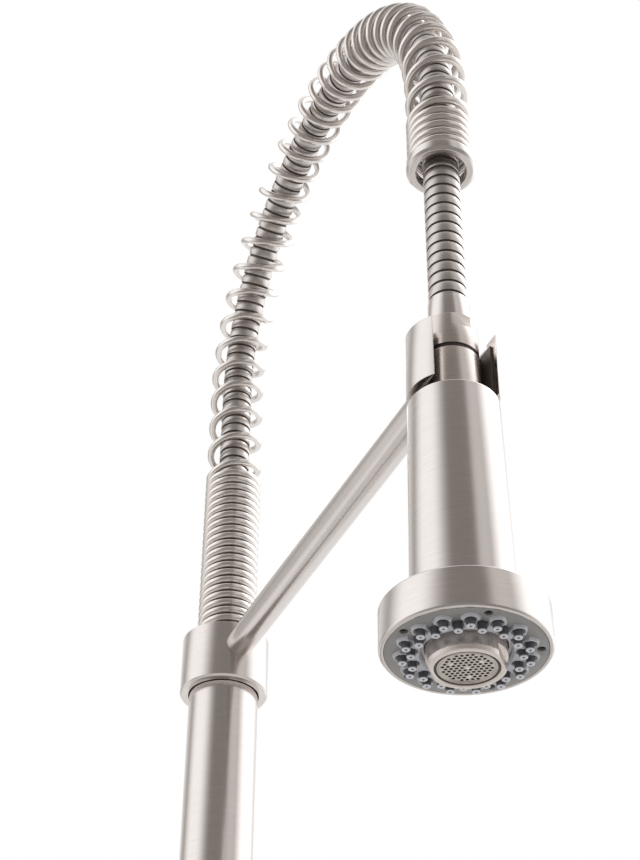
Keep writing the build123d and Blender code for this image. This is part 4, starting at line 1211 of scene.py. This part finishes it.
class FAUCET_OT_face(bpy.types.Operator):
    """Face plate, its screws, the jet mat and the jets"""

    bl_idname = "faucet.face"
    bl_label = "Spray face"

    def execute(self, context):
        self.reach = context.scene.faucet_line.reach
        self.sizes = context.scene.faucet_head
        self.plate()
        self.screws()
        self.mat()
        self.jets()
        return {"FINISHED"}

    def on_circle(self, diameter, angle):
        return Vector((diameter / 2 * cos(angle), -self.reach + diameter / 2 * sin(angle), 0))

    def screw_places(self):
        sizes = self.sizes
        step = 2 * pi / sizes.screws
        return [self.on_circle(sizes.screw_ring, sizes.screw_start + k * step) for k in range(sizes.screws)]

    def jet_places(self):
        places = []
        for k in range(self.sizes.nozzles):
            diameter = self.sizes.outer_ring if k % 2 == 0 else self.sizes.inner_ring
            angle = self.sizes.nozzle_start + 2 * pi * k / self.sizes.nozzles
            places.append(self.on_circle(diameter, angle))
        return places

    def plate(self):
        radius, low, high = node_span("spray_face")
        bore = 18.6 * MM
        middle = Matrix.Translation((0, -self.reach, low))
        bm = bmesh.new()
        for size in (radius, bore):
            bmesh.ops.create_circle(bm, radius=size, segments=128, matrix=middle)
        for place in self.screw_places():
            bmesh.ops.create_circle(
                bm, radius=1.38 * MM, segments=24, matrix=Matrix.Translation((place.x, place.y, low))
            )
        bmesh.ops.triangle_fill(bm, edges=bm.edges, use_beauty=True)
        thicken(bm, high - low)
        soften(bm, 0.12 * MM, 2, 60.0)
        piece("face_plate", bm, FINISHES["plate"], "spray_bell", ["spray_face"])

    def screws(self):
        low, high = (corner.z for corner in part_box("face_screws"))
        length = 0.75 * MM
        width = 0.16 * MM
        bm = bmesh.new()
        for place in self.screw_places():
            head = turned([(0, low), (1.2 * MM, low), (1.25 * MM, high), (0, high)], steps=20)
            for angle in (0.4, 0.4 + pi / 2):
                turn = Matrix.Rotation(angle, 4, "Z")
                slot = block((-length, -width, low - 0.5 * MM), (length, width, low + 0.4 * MM))
                bmesh.ops.transform(slot, matrix=turn, verts=slot.verts)
                head = carve(head, slot)
            bmesh.ops.translate(head, vec=(place.x, place.y, 0), verts=head.verts)
            join(bm, head)
        # The screw heads take the near-black finish, painted shade in their holes.
        piece("plate_screws", bm, FINISHES["screw"], "spray_bell", ["face_screws"])

    def mat(self):
        """Soft mat: a web with a scalloped edge, and a trough with ribs on both sides at every jet."""
        plate = node_span("spray_face")[1]
        high = node_span("nozzle_mat")[2]
        inner = 14.2 * MM
        outer = 23.5 * MM
        rows = 42
        outline = [(inner + (outer - inner) * k / rows, plate) for k in range(rows + 1)]
        outline += [(outer, high), (inner, high)]
        bm = turned(outline, -self.reach, steps=570)
        screws = self.screw_places()
        start = self.sizes.nozzle_start
        pitch = 2 * pi / self.sizes.nozzles
        for vert in bm.verts:
            if vert.co.z > plate + 0.1 * MM:
                continue
            flat = Vector((vert.co.x, vert.co.y, 0))
            if min((flat - screw).length for screw in screws) < 1.55 * MM:
                vert.co.z = high - 0.15 * MM
                continue
            x = vert.co.x
            y = vert.co.y + self.reach
            radius = hypot(x, y)
            turn = (atan2(y, x) - start) / pitch
            lobe = 0.5 + 0.5 * cos(turn * pi)
            edge = (19.9 + 3.5 * lobe**0.6) * MM
            raised = soft_step((edge - radius) / (0.75 * MM))
            raised *= soft_step((radius - inner) / (0.8 * MM)) * 0.7 + 0.3
            sunk = 1.0 - soft_step((self.from_trough(radius, turn, pitch) - 1.5 * MM) / (0.42 * MM))
            web = 0.4 * MM - raised * 1.4 * MM
            vert.co.z = plate + web + (1.25 * MM - web) * sunk
        bmesh.ops.recalc_face_normals(bm, faces=bm.faces)
        piece("jet_mat", bm, FINISHES["mat"], "spray_bell", ["nozzle_mat"], crease=80.0)

    def from_trough(self, radius, turn, pitch):
        """Distance from the middle line of the nearest trough."""
        jet = round(turn)
        angle = (turn - jet) * pitch
        along = radius * cos(angle)
        outer = jet % 2 == 0
        circle = self.sizes.outer_ring if outer else self.sizes.inner_ring
        low = circle / 2 - 0.4 * MM
        high = circle / 2 + (0.35 if outer else 1.8) * MM
        beyond = max(0.0, along - high, low - along)
        return hypot(radius * sin(angle), beyond)

    def jets(self):
        low = node_span("nozzle_mat")[1]
        root = node_span("spray_face")[1] + 1.35 * MM
        base = 1.48 * MM
        tip = 1.42 * MM
        lip = 0.3 * MM
        mouth = 0.42 * MM
        depth = 1.2 * MM
        outline = [
            (0, root),
            (base + 0.1 * MM, root),
            (base + 0.03 * MM, root - 0.5 * MM),
            (base, root - 0.9 * MM),
            (tip, low + lip),
        ]
        outline += [(tip - lip + lip * cos(a), low + lip - lip * sin(a)) for a in (pi / 6, pi / 3, pi / 2)]
        outline += [
            (mouth + 0.12 * MM, low),
            (mouth, low + 0.15 * MM),
            (mouth, low + depth),
            (0, low + depth),
        ]
        bm = bmesh.new()
        for place in self.jet_places():
            jet = turned(outline, steps=24)
            bmesh.ops.translate(jet, vec=place, verts=jet.verts)
            join(bm, jet)
        piece("jets", bm, FINISHES["jets"], "spray_bell", ["nozzle_mat"], crease=45.0)


def soft_step(share):
    share = max(0.0, min(1.0, share))
    return share * share * (3 - 2 * share)


BARREL_FLAT_TURN = radians(-41.4)
SCREEN_TURN = radians(-34.0)
SCREEN_BOSS = radians(91.0)
SCREEN_BOSS_R = 5.5 * MM


class FAUCET_OT_aerator(bpy.types.Operator):
    """Aerator's housing, cage and screen"""

    bl_idname = "faucet.aerator"
    bl_label = "Aerator"

    def execute(self, context):
        reach = context.scene.faucet_line.reach
        radius, low, high = node_span("aerator_housing")
        mouth = 10.4 * MM
        bm = turned(
            [
                (4 * MM, high),
                (radius, high),
                (radius, low + 1.5 * MM),
                (12.3 * MM, low + 0.25 * MM),
                (12.0 * MM, low),
                (mouth + 0.3 * MM, low),
                (mouth, low + 0.3 * MM),
                (mouth, low + 9 * MM),
                (4 * MM, low + 9 * MM),
            ],
            -reach,
            steps=128,
        )
        bm = flats(bm, reach, 22.6 * MM, 16 * MM, (low - 1 * MM, low + 4 * MM), BARREL_FLAT_TURN)
        soften(bm, 0.14 * MM, 2)
        piece("aerator_barrel", bm, FINISHES["barrel"], "spray_bell", ["aerator_housing"])

        radius, low, high = node_span("aerator_ring")
        bore = 9.65 * MM
        bm = ring(bore, radius, low, high, -reach)
        soften(bm, 0.12 * MM)
        piece("aerator_cage", bm, FINISHES["dark"], "spray_bell", ["aerator_ring"])
        self.screen(reach)
        return {"FINISHED"}

    def screen(self, reach):
        """Perforated disc in a bright hoop, with four bosses."""
        radius, low, high = node_span("aerator_screen")
        net = 8.45 * MM
        edge = 9.55 * MM
        face = low + 0.3 * MM
        ridge = low + 0.05 * MM
        hoop = turned(
            [
                (net, face),
                (net + 0.1 * MM, ridge),
                (net + 0.3 * MM, ridge),
                (net + 0.45 * MM, face),
                (edge - 0.35 * MM, face),
                (edge - 0.25 * MM, low),
                (edge, low),
                (edge, high),
                (net, high),
            ],
            -reach,
        )
        level = Matrix.Translation((0, -reach, face)) @ Matrix.Rotation(SCREEN_TURN, 4, "Z")
        bosses = [Vector((0, 0))]
        for angle in (SCREEN_BOSS, SCREEN_BOSS + 2 * pi / 3, SCREEN_BOSS + 4 * pi / 3):
            bosses.append(Vector((SCREEN_BOSS_R * cos(angle), SCREEN_BOSS_R * sin(angle))))
        pitch = 1.68 * MM
        hole = 0.6 * MM
        furthest = net - hole - 0.1 * MM
        clearance = 0.8 * MM
        rise = pitch * sin(pi / 3)
        rows = int(net / rise)
        bm = bmesh.new()
        bmesh.ops.create_circle(bm, radius=net + 0.05 * MM, segments=96, matrix=level)
        for row in range(-rows, rows + 1):
            for column in range(-rows - 1, rows + 2):
                spot = Vector(((column + row % 2 / 2) * pitch, row * rise))
                near = min((spot - boss).length for boss in bosses)
                if spot.length > furthest or near < clearance:
                    continue
                place = level @ Matrix.Translation((*spot, 0))
                bmesh.ops.create_circle(bm, radius=hole, segments=10, matrix=place)
        bmesh.ops.triangle_fill(bm, edges=bm.edges, use_beauty=True)
        thicken(bm, 0.3 * MM)
        join(bm, soften(hoop, 0.06 * MM, 2))
        for boss in bosses:
            place = level @ Matrix.Translation((*boss, 0)) @ Matrix.Diagonal((1, 1, 0.4, 1))
            dome = bmesh.ops.create_uvsphere(
                bm, u_segments=12, v_segments=8, radius=0.62 * MM, matrix=place
            )
            for vert in dome["verts"]:
                for face in vert.link_faces:
                    face.material_index = 1
        finish = (FINISHES["mesh"], FINISHES["plated"])
        piece("screen_disc", bm, finish, "spray_bell", ["aerator_screen"])

        # A dark disc behind the screen: painted shade seen through its holes.
        bm = ring(0, radius, low + 2.2 * MM, low + 3 * MM, -reach)
        piece("painted_shade_behind_screen", bm, FINISHES["seam"], "spray_bell")


LEVER_AXIS = 62 * MM
LEVER_PIVOT = 38 * MM


class FAUCET_OT_valve(bpy.types.Operator):
    """Base ring and valve body"""

    bl_idname = "faucet.valve"
    bl_label = "Valve body"

    def execute(self, context):
        nickel = FINISHES["nickel"]
        radius, low, high = node_span("deck_flange")
        bore = 16.7 * MM
        edge = 2.2 * MM
        bm = turned(
            [
                (bore, low),
                (20 * MM, low),
                (20 * MM, 2 * MM),
                (25 * MM, 2 * MM),
                (25 * MM, low),
                (radius, low),
                (radius, high - edge),
                (radius - 0.6 * MM, high - 0.8 * MM),
                (radius - edge, high),
                (bore, high),
            ],
            steps=128,
        )
        piece("base_ring", soften(bm, 0.3 * MM), nickel, "base", ["deck_flange"])

        low, high = (corner.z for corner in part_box("valve_body"))
        outer = 23 * MM
        seat = high - 16 * MM
        column = COLUMN_R + 0.05 * MM
        bm = turned(
            [
                (0, low),
                (outer, low),
                (outer, high - 3 * MM),
                (outer - 1 * MM, high - 1 * MM),
                (outer - 3 * MM, high),
                (column, high),
                (column, seat),
                (0, seat),
            ],
            steps=128,
        )
        piece("valve_shell", soften(bm, 0.5 * MM), nickel, "base", ["valve_body"])

        boss = 20 * MM
        end = 36.5 * MM
        bore = 16.1 * MM
        back = 8 * MM
        floor = 9 * MM
        edge = 1 * MM
        bm = turned(
            [
                (0, back),
                (boss, back),
                (boss, end - edge),
                (boss - edge, end),
                (bore, end),
                (bore, floor),
                (0, floor),
            ]
        )
        lay_along_x(soften(bm, 0.3 * MM), LEVER_AXIS)
        piece("cartridge_boss", bm, FINISHES["nickel_x"], "base", ["valve_body"])
        return {"FINISHED"}


class FAUCET_OT_lever(bpy.types.Operator):
    """Bonnet, hub and lever"""

    bl_idname = "faucet.lever"
    bl_label = "Lever"

    def execute(self, context):
        axis = LEVER_AXIS
        pivot = LEVER_PIVOT
        cover = 18 * MM
        wall = 2.2 * MM
        opening = 12 * MM
        rise = 90 - asin(opening / cover) * 180 / pi
        outer = [(r, pivot + x) for x, r in arc(cover, 90, 90 - rise, 14)]
        inner = [(r, pivot + x) for x, r in arc(cover - wall, 90 - rise, 90, 14)]
        brim = 19 * MM
        outline = [(cover - wall, pivot - 1.5 * MM), (brim, pivot - 1.5 * MM), (brim, pivot - 0.05 * MM)]
        bm = lay_along_x(soften(turned(outline + outer + inner), 0.2 * MM, 2, 40.0), axis)
        piece("bonnet_cover", bm, FINISHES["nickel_x"], "base", ["valve_bonnet"])

        hollow = 18.5 * MM
        rim = 9.5 * MM
        shell = 21.2 * MM
        front = 27 * MM
        start = acos(rim / hollow) * 180 / pi
        inner = [(r, pivot + x) for x, r in arc(hollow, start, 0, 16)]
        inner[-1] = (0, pivot + hollow)
        seat = 4.55 * MM
        seat_floor = pivot + front - 1.6 * MM
        outer = [
            (0, seat_floor),
            (seat, seat_floor),
            (seat, pivot + front),
            (10.8 * MM, pivot + front),
            (12.2 * MM, pivot + front - 0.5 * MM),
            (16.4 * MM, pivot + 18 * MM),
            (sqrt(shell**2 - rim**2), pivot + rim),
        ]
        bm = turned(inner + outer)
        lay_along_x(soften(bm, 0.4 * MM), axis)
        grub = pivot + 21.5 * MM
        bm = drill(bm, 2.05 * MM, (grub, 0, axis - shell), (grub, 0, axis))
        piece("lever_cap", bm, FINISHES["nickel_x"], "lever", ["lever_hub"])

        low, high = (corner.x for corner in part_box("hub_plug"))
        plug = 4.4 * MM
        bm = turned(
            [(0, low), (plug, low), (plug, high - 0.2 * MM), (plug - 0.3 * MM, high), (0, high)], steps=48
        )
        lay_along_x(soften(bm, 0.1 * MM, 2), axis)
        piece("lever_plug", bm, FINISHES["plug"], "lever", ["hub_plug"])

        low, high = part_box("lever_rod")
        middle = (low.x + high.x) / 2
        foot = 4.5 * MM
        tip = 3.8 * MM
        edge = 2.5 * MM
        dome = [(tip - edge + x, high.z - edge + z) for x, z in arc(edge, 0, 90, 8)]
        bm = turned([(0, low.z), (foot, low.z)] + dome + [(0, high.z)], steps=64)
        bmesh.ops.translate(bm, vec=(middle, 0, 0), verts=bm.verts)
        piece("lever_bar", bm, FINISHES["nickel"], "lever", ["lever_rod"])
        return {"FINISHED"}


class FAUCET_OT_under_deck(bpy.types.Operator):
    """Shank, washers and nut under the deck"""

    bl_idname = "faucet.under_deck"
    bl_label = "Under the deck"

    def execute(self, context):
        bore = 12.5 * MM
        outer = 16.4 * MM
        depth = 0.9 * MM
        pitch = 2 * MM
        foot = -64 * MM
        top = 19 * MM
        thread_top = -20 * MM
        threads = 22
        outline = [(bore, foot), (bore, top), (outer, top), (outer, thread_top)]
        for k in range(threads):
            crest = thread_top - k * pitch
            outline.append((outer - depth, crest - pitch / 2))
            outline.append((outer, crest - pitch))
        outline.append((outer - depth, foot))
        piece("threaded_shank", turned(outline), FINISHES["brass"], "base", ["mounting_shank"])
        for name, node, finish, slot in (
            ("soft_washer", "rubber_washer", "rubber", "rubber_black"),
            ("flat_washer", "steel_washer", "steel", "steel"),
            ("base_seal", "deck_gasket", "rubber", "rubber_black"),
        ):
            radius, low, high = node_span(node)
            hole = 20.1 * MM if node == "deck_gasket" else 16.7 * MM
            bm = ring(hole, radius, low, high)
            piece(name, soften(bm, 0.25 * MM), FINISHES[finish], "base", [node])
        bm = soften(copied("mounting_nut"), 0.5 * MM, 2, 35.0)
        piece("clamp_nut", bm, FINISHES["brass"], "base", ["mounting_nut"])
        return {"FINISHED"}


INNER_FINISHES = {
    "brass": ("riser_spigot", "cartridge_nut", "inlet_block", "inlet_tubes", "check_valve"),
    "plated": ("hose_tail",),
    "steel": ("collar_screw", "lever_grub", "lever_stem", "stem_pin"),
    "dark": ("thrust_ring",),
    "white": (
        "ceramic_cartridge",
        "stem_carrier",
        "head_core",
        "waterway",
        "spray_housing",
        "diverter_valve",
    ),
    "ceramic": ("ceramic_discs",),
    "rubber": ("column_seal",),
}


class FAUCET_OT_inner(bpy.types.Operator):
    """Finishes of the CAD nodes that are kept"""

    bl_idname = "faucet.inner"
    bl_label = "Inner pieces"

    def execute(self, context):
        for finish, nodes in INNER_FINISHES.items():
            for node in nodes:
                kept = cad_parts[node]
                kept.data.materials.clear()
                kept.data.materials.append(FINISHES[finish])
        return {"FINISHED"}


# Panel and registration

OPERATORS = (
    FAUCET_OT_stage,
    FAUCET_OT_column,
    FAUCET_OT_clip,
    FAUCET_OT_spring,
    FAUCET_OT_hose,
    FAUCET_OT_head,
    FAUCET_OT_face,
    FAUCET_OT_aerator,
    FAUCET_OT_valve,
    FAUCET_OT_lever,
    FAUCET_OT_under_deck,
    FAUCET_OT_inner,
)


class FAUCET_PT_panel(bpy.types.Panel):
    """Every step of the faucet"""

    bl_idname = "FAUCET_PT_panel"
    bl_label = "Spring kitchen faucet"
    bl_space_type = "VIEW_3D"
    bl_region_type = "UI"
    bl_category = "Faucet"

    def draw(self, context):
        for operator in OPERATORS:
            self.layout.operator(operator.bl_idname)
        for name, group in GROUPS.items():
            box = self.layout.box()
            box.label(text=group.__doc__)
            for size in group.__annotations__:
                box.prop(getattr(context.scene, name), size)


def register():
    for group in GROUPS.values():
        bpy.utils.register_class(group)
    for name, group in GROUPS.items():
        setattr(bpy.types.Scene, name, PointerProperty(type=group))
    for kind in (*OPERATORS, FAUCET_PT_panel):
        bpy.utils.register_class(kind)


def unregister():
    for kind in (FAUCET_PT_panel, *reversed(OPERATORS)):
        bpy.utils.unregister_class(kind)
    for name, group in GROUPS.items():
        delattr(bpy.types.Scene, name)
        bpy.utils.unregister_class(group)


def main():
    register()
    make_finishes(bpy.context.scene)
    bpy.ops.faucet.stage()
    bpy.ops.faucet.column()
    bpy.ops.faucet.clip()
    bpy.ops.faucet.spring()
    bpy.ops.faucet.hose()
    bpy.ops.faucet.head()
    bpy.ops.faucet.face()
    bpy.ops.faucet.aerator()
    bpy.ops.faucet.valve()
    bpy.ops.faucet.lever()
    bpy.ops.faucet.under_deck()
    bpy.ops.faucet.inner()


if __name__ == "__main__":
    main()
